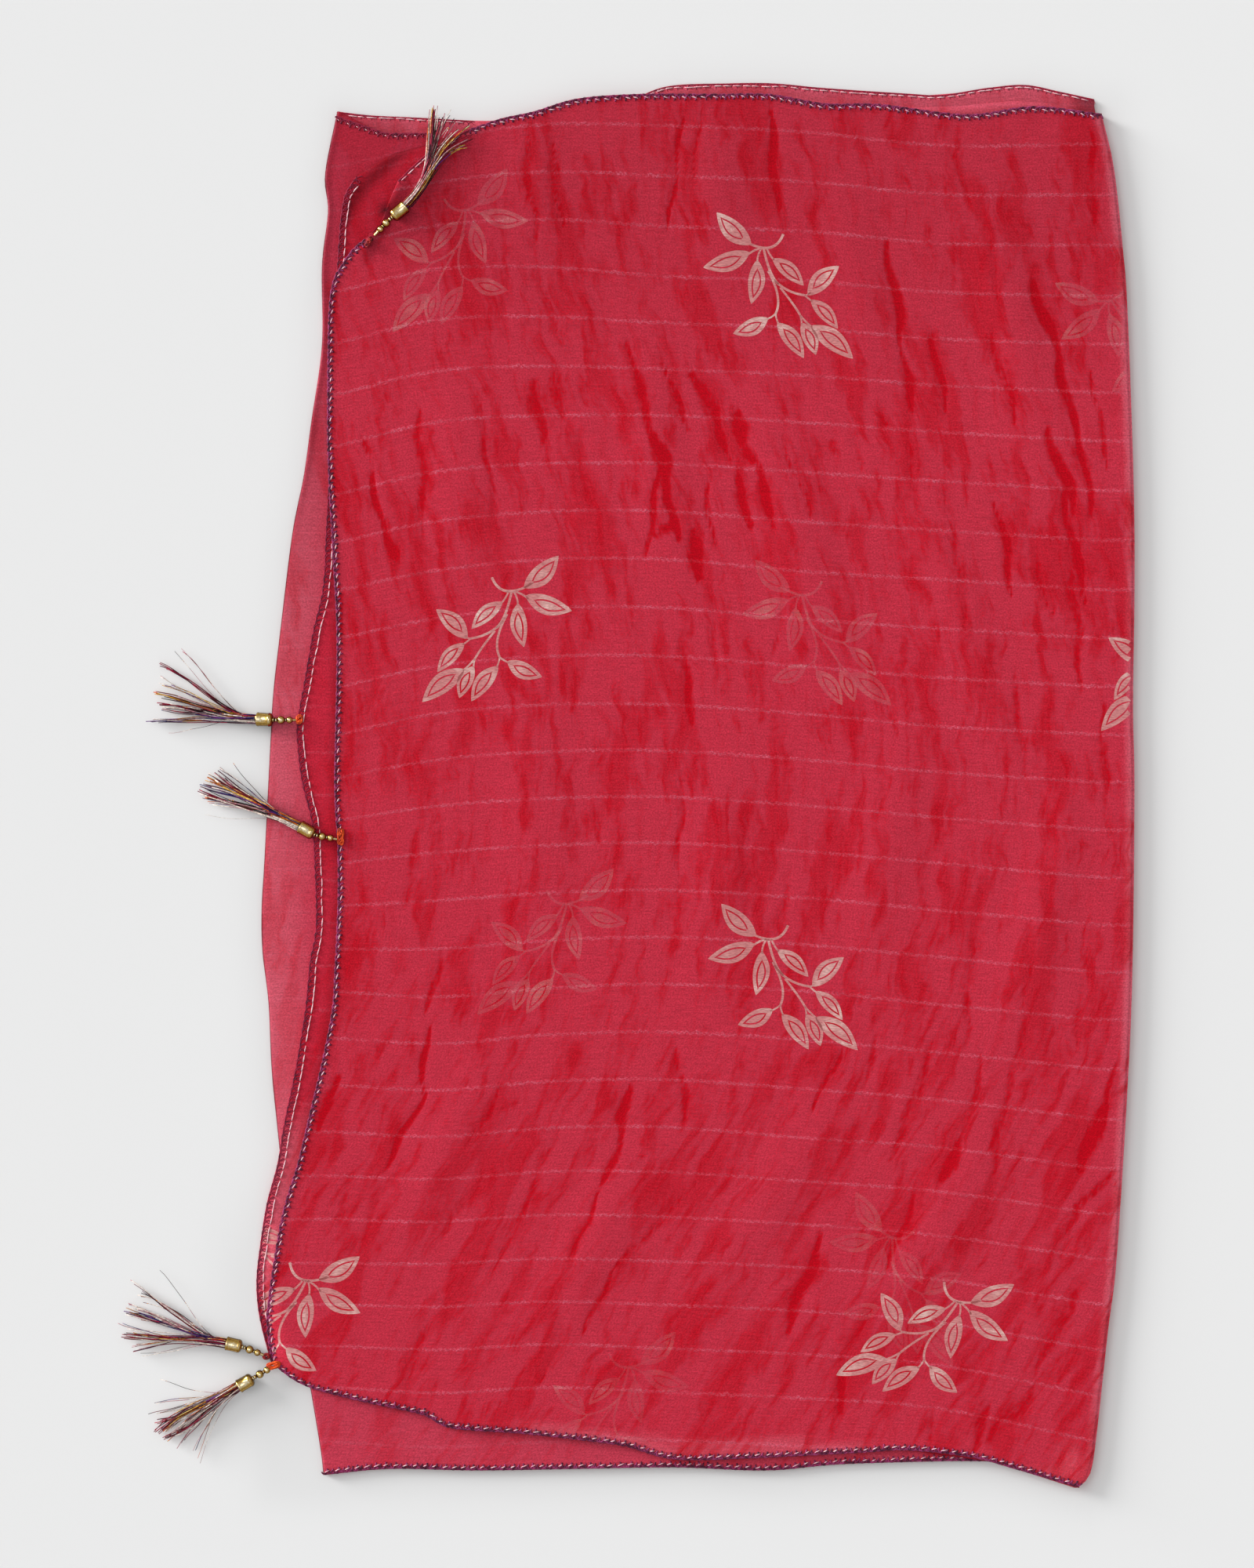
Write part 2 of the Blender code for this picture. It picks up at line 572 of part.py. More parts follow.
def main():
    clear_scene()
    collection = bpy.data.collections.new(COLLECTION)
    cutters = bpy.data.collections.new("Joined_shapes")
    for group in (collection, cutters):
        bpy.context.scene.collection.children.link(group)
    make_top_panel(collection, principled("Crimson cloth, top", (0.49, 0.026, 0.05), 0.75))
    make_second_panel(collection, principled("Crimson cloth, second", (0.45, 0.024, 0.045), 0.75))
    make_under_fold(collection, cutters, principled("Crimson cloth, under", (0.55, 0.07, 0.10), 0.75))
    for number, row in enumerate(TASSELS, start=1):
        tassel = dict(zip(TASSEL_COLUMNS, row))
        brass = principled(f"Brass bell {number}", (0.78, 0.55, 0.20), 0.25, 1.0)
        beads = principled(f"Brass beads {number}", (0.82, 0.62, 0.30), 0.22, 1.0)
        thread = principled(f"Orange thread {number}", (0.80, 0.12, 0.02), 0.7)
        yarn = principled(f"Tassel yarn {number}", (0.20, 0.04, 0.05), 0.8)
        inner, length = make_bell(collection, number, tassel, brass)
        make_beads(collection, number, tassel, beads)
        make_knot(collection, number, tassel, thread)
        make_strands(collection, cutters, number, tassel, inner, length, yarn)


main()
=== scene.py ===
"""Looks of the folded tasselled scarf.

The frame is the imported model, in metres with +Z up. The scarf lies on z = 0. Tables are in millimetres,
except the charts of the print, the woven lines and the contact marks, which are in pixels of the photo.
"""

import math

import bmesh
import bpy
import numpy as np
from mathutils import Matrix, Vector


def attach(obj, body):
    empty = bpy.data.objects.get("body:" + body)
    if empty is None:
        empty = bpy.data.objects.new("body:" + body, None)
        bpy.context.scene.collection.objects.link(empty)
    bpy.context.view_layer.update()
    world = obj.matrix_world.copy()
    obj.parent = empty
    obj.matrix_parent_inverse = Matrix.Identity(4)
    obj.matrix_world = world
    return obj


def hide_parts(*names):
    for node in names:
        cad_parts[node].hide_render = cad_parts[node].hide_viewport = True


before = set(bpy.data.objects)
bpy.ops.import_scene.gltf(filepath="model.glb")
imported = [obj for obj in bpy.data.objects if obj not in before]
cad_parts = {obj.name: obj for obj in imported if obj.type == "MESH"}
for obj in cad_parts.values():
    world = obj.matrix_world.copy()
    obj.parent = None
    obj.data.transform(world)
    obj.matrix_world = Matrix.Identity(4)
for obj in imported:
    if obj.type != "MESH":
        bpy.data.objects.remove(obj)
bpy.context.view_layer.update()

bl_info = {
    "name": "Folded tasselled scarf",
    "version": (1, 0, 0),
    "blender": (4, 5, 0),
    "location": "3D View > Sidebar > Scarf",
    "description": "Cloth, print, sewing and tassels of a scarf that lies folded on a table",
    "category": "Object",
}

BODY = "root"
MM = 0.001

# The photo and its scale
PHOTO_WIDTH = 1600
PHOTO_HEIGHT = 2000
PIXEL = 0.514
PHOTO_ZERO_X = 800
PHOTO_ZERO_Y = 1001

# Heights of the layers, as the frame has them
WALL = 1.0
CLEARANCE = 0.4
UNDER_HEIGHT = 3.0
LAYER_PITCH = WALL + CLEARANCE
DROOP_START = 5.5
DROOP_REACH = 25.0
DROOP_LOOSENESS = 0.8
FOLD_TOP_Z = UNDER_HEIGHT + CLEARANCE + 0.5 * WALL + LAYER_PITCH
FOLD_BOTTOM_Z = 0.5 * WALL
FOLD_RADIUS = 0.5 * (FOLD_TOP_Z - FOLD_BOTTOM_Z)
FOLD_INSET = FOLD_RADIUS + 0.5 * WALL
THREAD_RAISE = 0.16
PRINT_RAISE = 0.07
# Soft fold of the second layer at its upper left corner, in pixels of the photo
CORNER_FOLD = ((548, 178), (527, 192), (510, 207), (495, 222), (475, 240), (457, 265), (441, 292), (432, 325))
# Painted soft shadow on the table round the scarf, in millimetres
PAINTED_TABLE_SHADOW = {"shift": (3.5, -6.5), "reach": 17.0, "strength": 0.064}
# A fainter painted shadow beside the fold, behind the lower pair of tassels
FOLD_SHADE = {"x": -258.0, "y": -325.0, "half_width": 20.0, "half_length": 50.0, "strength": 0.045}
# The table: half its side, the close points round the scarf, and how far it lies below the cloth
TABLE = {"reach": 4000.0, "near": 520.0, "points": 131, "gap": 0.2}
# Towards the window, and the lamp's direction and spread in degrees
WINDOW = (-0.72, 0.30, 0.62)
LAMP_DIRECTION = (1.0, -0.50, -0.225)
LAMP_SPREAD = 22
GOLDEN_ANGLE = math.pi * (3.0 - math.sqrt(5.0))

# Edges seen from above, each row an (x, y) in millimetres, as the frame's solids have them.
# Left and right edges run from the bottom up, top and bottom edges from the left.
RIGHT_FOLD = (
    (296, -460), (301, -455), (306, -439), (315, -359), (321, -308), (329, -179), (331.5, -102),
    (332.5, 0), (331.5, 52), (332.5, 124), (332, 196), (328, 309), (325, 350), (319, 404), (311, 439),
)
TOP_LEFT_HEM = (
    (-233, -379), (-236, -355), (-235, -338), (-231, -310), (-225, -278), (-215.5, -247), (-209, -220),
    (-199, -178), (-193, -146), (-191.5, -123), (-189.5, -81), (-189.5, -41), (-191.5, 1), (-190, 93),
    (-193, 155), (-196, 216), (-196, 278), (-195, 314), (-192, 331), (-187, 340), (-180, 350),
    (-172, 357), (-162, 366), (-156, 381), (-150, 395),
)
TOP_UPPER_HEM = (
    (-150, 395), (-139, 406), (-123, 419), (-103, 429), (-82, 436), (-61, 440.5), (-32, 449), (10, 452),
    (59, 452), (93, 452), (129, 446), (164, 445.5), (206, 440), (230, 439), (267, 444), (311, 439),
)
TOP_LOWER_HEM = (
    (-233, -379), (-211, -393), (-176, -403), (-135, -412), (-115, -421), (-70, -424.5), (-29, -429),
    (-1, -433), (32, -441.5), (84, -440.5), (153, -437), (183, -435.5), (225, -440), (255, -448),
    (296, -460),
)
# The left hem below the curled corner, and the two ends of the upper hem
TOP_SIDE_HEM = TOP_LEFT_HEM[:22]
TOP_CORNER_HEM = TOP_UPPER_HEM[:4]
TOP_LONG_HEM = TOP_UPPER_HEM[3:]
SECOND_LEFT_HEM = (
    (-234, -377), (-241, -349), (-243, -325), (-240, -298), (-236, -274), (-229, -248), (-225, -223),
    (-217, -184), (-211, -147), (-208, -116), (-204, -92), (-205, -51), (-207, -23), (-213, 1),
    (-216, 25), (-216, 42), (-211, 71), (-206, 100), (-199.5, 129), (-197.5, 164), (-195, 216),
    (-193, 290), (-190, 340), (-188, 368), (-185, 386), (-177, 399),
)
SECOND_UPPER_EDGE = (
    (-177, 399), (-155, 412), (-131, 419), (-90, 430), (-30, 443), (60, 447), (200, 435), (305, 434),
)
SECOND_LOWER_EDGE = (
    (-234, -377), (-176, -398), (-77, -416), (10, -425), (31, -431), (103, -428), (154, -432), (290, -450),
)
SECOND_RIGHT_EDGE = ((290, -450), (322, -250), (325, 0), (322, 250), (305, 434))
CENTRE_FOLD = (
    (-199, -452), (-201, -435), (-208, -393), (-216, -349), (-229, -227), (-233, -186), (-235, -143),
    (-239, -109), (-239.5, -81), (-237.5, -46), (-234, 23), (-232, 59), (-228, 95), (-219.5, 164),
    (-212, 202), (-207, 238), (-200, 288), (-200, 340), (-196, 376), (-198, 400), (-190, 441),
)
UNDER_LOWER_HEM = (
    (-199, -452), (-156, -448), (-98, -449), (-36, -448), (32, -447), (91, -449), (139, -445),
    (204, -443), (240, -443), (291, -455),
)
LOWEST_UPPER_HEM = (
    (-190, 441), (-167, 438.5), (-136, 437), (-100, 435), (-60, 437), (0, 447), (26, 457.5), (66, 459.5),
    (96, 459.5), (129, 456.5), (181, 453), (206, 452), (236, 456.5), (261, 458.5), (284, 454), (307, 449),
)
THIRD_UPPER_HEM = (
    (-190, 438), (-167, 430), (-156, 427), (-128, 427), (-60, 433), (0, 442), (60, 450), (129, 447),
    (206, 444), (261, 448), (304, 440),
)

# Long soft folds of the top layer: middle, length, lean from +Y, half width, height, in millimetres
SOFT_FOLD_COLUMNS = ("x", "y", "length", "lean", "width", "height")
SOFT_FOLDS = (
    (-60, 395, 150, 4, 17, 0.8),
    (60, 385, 170, 5, 19, 1.0),
    (150, 330, 200, 12, 18, 0.9),
    (255, 300, 260, 14, 19, 1.2),
    (20, 210, 230, 9, 17, 0.9),
    (110, 170, 260, 16, 20, 1.1),
    (215, 120, 260, 18, 18, 0.8),
    (-110, 200, 210, 6, 20, 0.9),
    (-60, -20, 260, 1, 22, 0.8),
    (60, -60, 240, -6, 19, 0.9),
    (170, -40, 230, -10, 21, 1.0),
    (270, -90, 240, -14, 18, 1.1),
    (-120, -240, 200, -28, 18, 0.9),
    (-20, -300, 210, -31, 20, 1.0),
    (95, -270, 230, -33, 19, 0.9),
    (205, -290, 220, -30, 20, 1.0),
)
# A ridge reaches past its half width by this much, fading
RIDGE_SPREAD = 1.6
# Points of the cloths' grids: across, up and round the fold
TOP_GRID = {"across": 251, "up": 151, "fold": 13}
LOWER_GRID = {"shown": 36, "hidden": 25, "up": 201, "fold": 11}
CORNER_ROLL = {
    "foot": (-176, 350), "head": (-150, 396), "width": 4.0, "height": 1.6, "overrun": 8, "fade": 12,
}

# Where the thicker woven lines run: each row is one line, its number from the top and the photo's y
# at these x. They bow because the cloth has slid a little as it was folded.
LINE_X = (430, 560, 700, 850, 1030, 1200, 1400)
WOVEN_LINES = (
    (1, (205, 178, 160, 162, 170, 187, 185)),
    (4, (373, 344, 342, 354, 360, 374, 379)),
    (7, (570, 539, 531, 531, 540, 552, 563)),
    (10, (754, 728, 714, 714, 730, 740, 753)),
    (13, (938, 910, 899, 899, 911, 927, 937)),
    (16, (1101, 1087, 1078, 1075, 1086, 1101, 1119)),
    (19, (1264, 1271, 1260, 1255, 1264, 1281, 1300)),
    (22, (1443, 1449, 1438, 1437, 1451, 1463, 1490)),
    (25, (1610, 1611, 1604, 1608, 1616, 1631, 1662)),
    (28, (1768, 1775, 1768, 1774, 1782, 1795, 1838)),
)
LINE_PITCH = 31.5

# Marks where the top layer clings to the one below and looks darker: upper end, lower end, width, depth.
# Places and widths are in pixels of the photo.
CLING_COLUMNS = ("upper_x", "upper_y", "lower_x", "lower_y", "width", "depth")
CLING_MARKS = (
    (672, 165, 682, 310, 14, 0.75), (705, 180, 714, 292, 12, 0.75), (868, 150, 856, 292, 8, 0.85),
    (892, 138, 884, 240, 7, 0.7), (985, 136, 990, 272, 11, 1.0), (1215, 190, 1240, 275, 10, 0.6),
    (1248, 260, 1276, 380, 9, 0.65), (1385, 150, 1396, 290, 14, 0.7), (1130, 308, 1150, 440, 12, 0.95),
    (1150, 440, 1166, 530, 12, 0.85), (1318, 358, 1345, 450, 14, 1.0), (1345, 448, 1376, 560, 12, 1.0),
    (1376, 555, 1392, 665, 10, 0.85), (1190, 425, 1206, 525, 12, 0.85), (1262, 425, 1296, 545, 13, 0.7),
    (1338, 548, 1366, 645, 16, 0.95), (1352, 630, 1388, 765, 11, 1.0), (800, 436, 836, 562, 11, 0.85),
    (835, 555, 846, 612, 20, 1.0), (1000, 558, 1032, 655, 8, 0.65), (680, 486, 692, 566, 22, 0.65),
    (536, 520, 540, 690, 13, 0.7), (474, 598, 490, 690, 8, 1.0), (490, 688, 512, 716, 15, 0.95),
    (466, 558, 471, 584, 9, 0.8), (1086, 540, 1101, 602, 12, 0.5), (1128, 532, 1134, 548, 12, 0.8),
    (1270, 640, 1292, 765, 12, 0.8), (1300, 642, 1342, 785, 9, 0.65), (1366, 640, 1376, 880, 16, 0.7),
    (870, 818, 886, 925, 12, 0.8), (1002, 758, 986, 855, 8, 0.5), (430, 745, 441, 805, 16, 0.6),
    (1152, 560, 1172, 640, 9, 0.7), (1392, 470, 1412, 600, 8, 0.7), (1060, 560, 1068, 580, 12, 0.6),
    (870, 985, 866, 1135, 10, 0.6), (532, 1075, 520, 1155, 18, 0.5), (562, 1215, 546, 1290, 10, 0.7),
    (548, 1305, 540, 1402, 8, 0.85), (541, 1398, 488, 1492, 8, 0.95), (430, 1375, 408, 1445, 16, 0.8),
    (640, 1385, 600, 1455, 12, 0.6), (802, 1385, 790, 1452, 16, 0.85), (791, 1448, 768, 1512, 10, 0.85),
    (762, 1518, 726, 1622, 8, 0.85), (866, 1335, 872, 1432, 12, 0.7), (1076, 1338, 1040, 1412, 8, 0.95),
    (1122, 1318, 1100, 1392, 10, 0.6), (1224, 1455, 1202, 1505, 18, 0.9), (1172, 1518, 1130, 1615, 12, 0.8),
    (1052, 1575, 1000, 1702, 16, 0.8), (1252, 1345, 1230, 1452, 12, 0.65), (1292, 1355, 1260, 1522, 14, 0.6),
    (1402, 1415, 1376, 1492, 20, 1.0), (1432, 1325, 1400, 1442, 8, 0.95), (1442, 1478, 1368, 1542, 10, 0.75),
    (1382, 1538, 1350, 1605, 14, 0.6), (852, 1448, 800, 1484, 6, 0.6), (902, 1498, 780, 1622, 8, 0.7),
    (782, 1618, 740, 1705, 8, 0.7), (622, 1498, 560, 1585, 8, 0.5), (1182, 1598, 1160, 1645, 10, 0.6),
    (1082, 1735, 1070, 1805, 14, 0.8), (546, 1685, 520, 1765, 20, 0.55), (722, 1678, 690, 1765, 8, 0.55),
    (1262, 1790, 1240, 1850, 16, 0.7), (1190, 1800, 1180, 1845, 10, 0.65), (450, 1500, 430, 1560, 18, 0.5),
    (1010, 1110, 990, 1180, 10, 0.5), (1330, 1010, 1336, 1160, 16, 0.5), (1385, 1180, 1372, 1330, 13, 0.5),
    (720, 600, 722, 700, 10, 0.45), (770, 980, 764, 1080, 12, 0.4), (640, 330, 650, 450, 14, 0.4),
    (846, 600, 866, 690, 13, 0.95), (838, 604, 826, 712, 9, 0.9), (828, 684, 866, 668, 16, 0.75),
    (883, 674, 894, 738, 17, 1.0), (902, 612, 911, 692, 8, 0.8), (845, 462, 884, 560, 8, 0.85),
    (886, 478, 914, 540, 18, 0.95), (914, 538, 930, 590, 12, 0.9), (938, 604, 962, 675, 13, 0.9),
    (937, 530, 947, 566, 20, 0.95), (947, 564, 970, 600, 15, 0.95), (968, 598, 988, 672, 12, 0.9),
    (704, 478, 716, 530, 34, 0.6), (734, 476, 752, 520, 22, 0.5), (738, 556, 752, 648, 14, 0.5),
    (684, 352, 732, 469, 16, 0.5), (606, 488, 635, 664, 10, 0.55), (547, 957, 567, 1094, 14, 0.45),
    (899, 723, 918, 859, 10, 0.55), (1114, 840, 1143, 937, 12, 0.55), (1289, 859, 1309, 996, 12, 0.55),
    (1407, 898, 1412, 1094, 10, 0.55), (1250, 1133, 1231, 1328, 14, 0.55), (1319, 1172, 1289, 1406, 14, 0.55),
    (957, 1016, 947, 1172, 12, 0.45), (1192, 1328, 1133, 1484, 14, 0.6), (713, 1445, 625, 1621, 14, 0.55),
    (508, 1484, 430, 1641, 12, 0.5), (1379, 1633, 1316, 1755, 26, 0.55), (1328, 1621, 1231, 1758, 20, 0.5),
    (1367, 1719, 1289, 1797, 28, 0.5), (1316, 1780, 1258, 1838, 28, 0.6), (1133, 1641, 1055, 1758, 14, 0.55),
    (470, 820, 478, 930, 14, 0.45), (1130, 900, 1120, 1040, 12, 0.4), (1210, 640, 1232, 800, 12, 0.55),
)
# Noise of the cloth: turns for each metre across and along the streaks, and detail
STREAKS = (("broad", (38, 10), 2.0), ("middle", (140, 33), 3.0), ("fine", (370, 210), 4.0),
           ("hair", (800, 22), 2.0))
# How far the noise's places wander, in metres across and along the streaks
WANDER = (0.018, 0.012, 0.0)
# What each point of a cloth stores for its material: how it clings, how thin it is and its painted shade,
# which paints light where it is below zero
CLOTH_VALUES = ("cling", "thin", "shade")
# How far the marks lean from upright, by the photo's y: level at the top, to the lower left below
LEAN_Y = (100, 400, 700, 1000, 1250, 1450, 1900)
LEAN_SLOPE = (0.05, 0.22, 0.20, -0.02, -0.22, -0.50, -0.55)

# The printed sprig, drawn for this scarf: stems and leaves in millimetres from the sprig's middle
STEMS = (
    ((-1, 36), (-5, 26), (-14, 27), 1.7), ((-14, 27), (-22, 28), (-28, 33), 1.5),
    ((-15, 27), (-20, 26), (-25, 22), 1.3), ((-15, 27), (-18, 23), (-18, 18), 1.2),
    ((-12, 27), (-10, 22), (-7, 19), 1.2), ((-14, 27), (-10, 8), (-4, 3), 1.6),
    ((-11, 12), (-1, -6), (-6, -16), 1.5), ((-6, -16), (-9, -19), (-13, -20), 1.1),
    ((-6, -16), (-6, -19), (-4, -23), 1.1), ((-10, 10), (-2, -2), (13, -4), 1.5),
    ((-3, 1), (6, -10), (10, -17), 1.4), ((10, -17), (11, -20), (11, -23), 1.1),
    ((10, -17), (14, -22), (18, -25), 1.2), ((13, -4), (15, -4), (17, -2), 1.1),
    ((13, -4), (15, -6), (18, -8), 1.1),
)
LEAF_COLUMNS = ("x", "y", "aim", "length", "width")
LEAVES = (
    (-22, 29, 137, 31, 13), (-23, 24, 198, 32, 12.5), (-18, 19, 262, 29, 11), (-8, 20, 319, 27, 10),
    (15, -4, 43, 28, 12), (17, -7, 313, 26, 9.5), (-11, -19, 204, 25, 11), (-5, -22, 307, 29, 11),
    (11, -22, 294, 23, 10), (17, -24, 322, 35, 13),
)
STEM_POINTS = 14
LEAF_POINTS = 25
LEAF_CURL = 0.05
# The line inside a leaf: where it starts and ends, its share of the leaf's width, and its own width
LEAF_RIB = {"start": 0.20, "end": 0.86, "share": 0.56, "line": 1.05}
# Where sprigs are printed: photo's x and y, turn in degrees, mirrored
SPRIGS_ON_TOP = (
    (1001, 370, 0, False), (1007, 1250, 0, False), (626, 807, 0, True), (1178, 1699, -20, True),
    (353, 1677, -13, True), (1484, 838, 4, True),
)
SPRIGS_ON_SECOND = ((352, 1600, 30, False),)
SPRIGS_BELOW = ((575, 325, 8, True), (1050, 812, 0, False), (696, 1205, 0, True), (1460, 424, 20, False))
SPRIGS_DEEP_BELOW = ((1152, 1635, -14, False), (775, 1795, 0, True))

# Sewing of the hems, in millimetres: pale needle stitches, dark loops over the edge
NEEDLE_PITCH = 6.4
SEAM_COLUMNS = ("needle_inset", "needle_length", "needle_slant", "needle_radius", "loop_reach", "loop_radius",
                "outer_radius", "loop_lean", "cord_radius")
SEAMS = {
    "face": (2.2, 3.3, 1.2, 0.37, 3.4, 0.58, 0.30, 1.3, 0.42),
    "back": (4.6, 5.6, 0.3, 0.40, 3.7, 0.33, 0.06, 2.3, 0.20),
    "edge": (1.6, 5.4, 0.2, 0.36, 2.8, 0.22, 0.20, 1.3, 0.42),
    "plain": (2.2, 1.6, 0.6, 0.24, 3.4, 0.52, 0.30, 1.3, 0.42),
}
STEPS_PER_STITCH = 20
STITCH_POINTS = 6
STITCH_HUMP = 0.45
FIRST_STITCH = 4
# Sides of the tubes that stand for the cord and the stitches, the loops and the knot's thread
STITCH_SIDES = 6
LOOP_SIDES = 5
KNOT_SIDES = 8
KNOT_THREAD_RADIUS = 0.5
# How a hem's line and its loops wander: stations between two random values, and their size
LINE_WANDER = (33, 0.28)
LOOP_WANDER = (40, 0.6)

# Tassels: middle of the knot, closed end and mouth of the bell and end of the threads' route, each
# (x, y, z), the share of the way out at which the threads still lie together, and how far they part
# at their tips
TASSEL_COLUMNS = ("knot", "bell_top", "bell_mouth", "end", "gathered", "scatter")
TASSELS = (
    ((-166.5, 357.7, 8.8), (-154.2, 370.1, 11.2), (-145.0, 377.8, 10.6), (-124, 434, 8.9), 0.75, 1.0),
    ((-214.8, 42.4, 5.7), (-230.8, 42.4, 7.8), (-242.0, 42.9, 5.4), (-307, 63, 2.9), 0.0, 0.9),
    ((-187.9, -36, 7.1), (-203.8, -32.9, 9.2), (-213.8, -27.4, 8.6), (-276, 1, 3.2), 0.15, 1.1),
    ((-236.1, -374.2, 3.3), (-251.3, -368.0, 4.9), (-262.4, -365.5, 4.8), (-321, -351, 2.9), 0.0, 2.1),
    ((-231.6, -380.6, 5.3), (-244.3, -388.1, 4.9), (-254.2, -393.8, 4.8), (-305, -421, 2.9), 0.15, 1.7),
)
# Where the clumps of thread end: photo's x and y, number of threads, their radius and their dye
TIP_COLUMNS = ("x", "y", "count", "radius", "dye")
TASSEL_TIPS = (
    ((553, 138, 9, 0.38, 0.83), (557, 140, 8, 0.36, 0.17), (560, 146, 7, 0.34, 0.08),
     (567, 148, 5, 0.32, 0.22), (577, 143, 3, 0.26, 0.22), (580, 155, 4, 0.32, 0.84),
     (590, 156, 3, 0.32, 0.76), (601, 162, 3, 0.30, 0.66), (608, 171, 4, 0.30, 0.16),
     (599, 185, 4, 0.30, 0.58), (586, 176, 4, 0.30, 0.30)),
    ((230, 825, 2, 0.20, 0.36), (220, 831, 1, 0.16, 0.92), (204, 846, 6, 0.36, 0.20),
     (202, 860, 2, 0.20, 0.88), (201, 870, 4, 0.26, 0.60), (195, 880, 4, 0.34, 0.66),
     (201, 884, 5, 0.34, 0.18), (199, 897, 7, 0.38, 0.10), (204, 903, 5, 0.30, 0.34),
     (214, 897, 3, 0.24, 0.86), (187, 921, 6, 0.32, 0.46), (196, 918, 3, 0.22, 0.90),
     (212, 936, 1, 0.14, 0.94)),
    ((291, 966, 1, 0.20, 0.05), (276, 977, 3, 0.26, 0.36), (273, 984, 8, 0.40, 0.18),
     (266, 988, 6, 0.36, 0.08), (260, 992, 7, 0.36, 0.72), (254, 1000, 7, 0.36, 0.40),
     (253, 1007, 7, 0.34, 0.10), (256, 1016, 6, 0.30, 0.86), (260, 1020, 4, 0.26, 0.50),
     (255, 1039, 1, 0.12, 0.05)),
    ((204, 1620, 1, 0.16, 0.05), (169, 1638, 4, 0.28, 0.24), (174, 1651, 4, 0.26, 0.90),
     (159, 1662, 5, 0.30, 0.96), (158, 1670, 6, 0.34, 0.42), (164, 1672, 4, 0.30, 0.37),
     (151, 1686, 2, 0.24, 0.48), (154, 1701, 7, 0.34, 0.18), (161, 1704, 5, 0.30, 0.64),
     (168, 1716, 3, 0.24, 0.86), (165, 1724, 3, 0.26, 0.20), (178, 1726, 2, 0.16, 0.92)),
    ((198, 1757, 1, 0.16, 0.05), (192, 1790, 2, 0.22, 0.46), (190, 1804, 3, 0.24, 0.08),
     (198, 1815, 7, 0.34, 0.20), (197, 1825, 9, 0.36, 0.24), (203, 1824, 6, 0.34, 0.64),
     (209, 1838, 8, 0.34, 0.18), (214, 1832, 5, 0.30, 0.89), (227, 1848, 3, 0.26, 0.24),
     (247, 1850, 2, 0.22, 0.48), (252, 1865, 2, 0.16, 0.88), (216, 1826, 4, 0.26, 0.92)),
)
# Every fourth thread is a pale one, whatever its clump's dye, and the clumps of a few threads stay close
PALE_EVERY = 4
PALE_DYE = 0.955
FEW_THREADS = 3
YARN_POINTS = 18
YARN_SIDES = 5
YARN_DYES = (
    (0.00, "#160B0E"), (0.07, "#3A0E18"), (0.14, "#741228"), (0.22, "#94183A"), (0.29, "#4E1A30"),
    (0.36, "#7C6A74"), (0.42, "#1C1C5A"), (0.48, "#5A2470"), (0.55, "#96601E"), (0.62, "#CC9636"),
    (0.68, "#DDB766"), (0.74, "#C65C1C"), (0.80, "#7A2C22"), (0.87, "#B8848A"), (0.94, "#E6D6CA"),
)
BELL_RADIUS = 4.6
BELL_WALL = 0.6
BELL_NECK = 1.5
BEAD_RADII = (2.3, 2.7)
KNOT_SIZE = (2.9, 2.1, 1.5)
# Each knot's shift from its place, half length, half width and the way it lies in degrees
KNOT_COLUMNS = ("shift", "length", "width", "turn")
KNOTS = (
    ((-2.4, -2.8), 3.5, 1.1, 50), ((0.3, 0.4), 2.9, 2.0, 70), ((0.5, 2.0), 5.4, 1.7, 84),
    ((0.0, 0.0), 2.4, 1.8, 0), ((0.0, 0.6), 4.6, 2.0, 8),
)
# Knots drawn with a darker red copy of the knot thread: painted shade where they lie half hidden
SHADED_KNOTS = (1, 4)
KNOT_LOOPS = 7
LATHE_STEPS = 40


def linear(hex_colour):
    """An sRGB hex colour as linear red, green and blue."""
    channels = [int(hex_colour[start:start + 2], 16) / 255 for start in (1, 3, 5)]
    return tuple(c / 12.92 if c <= 0.04045 else ((c + 0.055) / 1.055) ** 2.4 for c in channels)


def colour_property(name, description, hex_colour):
    """A colour that the panel shows."""
    return bpy.props.FloatVectorProperty(name=name, description=description, subtype="COLOR", size=3,
                                         min=0.0, max=1.0, default=linear(hex_colour))


class ScarfColours(bpy.types.PropertyGroup):
    """Colours of the cloth, the print, the sewing and the tassels."""

    cloth: colour_property("Cloth", "Crimson where the layers lie loose on each other", "#BE2E42")
    cling: colour_property("Clinging cloth", "Deeper red where the layers cling together", "#B60318")
    weave: colour_property("Woven line", "Pale thicker weft thread", "#D4667C")
    thin: colour_property("Thin cloth", "Cloth with only one or two layers over the floor", "#CE586A")
    print_ink: colour_property("Print", "Pale pink of the printed sprigs", "#CB8584")
    print_below: colour_property("Print below", "Print of the lower layers, seen through cloth", "#CF7482")
    needle: colour_property("Needle thread", "Pale thread of the straight stitches", "#EBC4CA")
    loops: colour_property("Loop thread", "Dark thread over the edge", "#4C122E")
    knot: colour_property("Knot thread", "Orange thread that ties the tassels on", "#EE5A1E")
    brass: colour_property("Brass", "Polished brass of the bells and beads", "#D6AC58")
    floor: colour_property("Floor", "Pale table under the scarf", "#ECECEC")


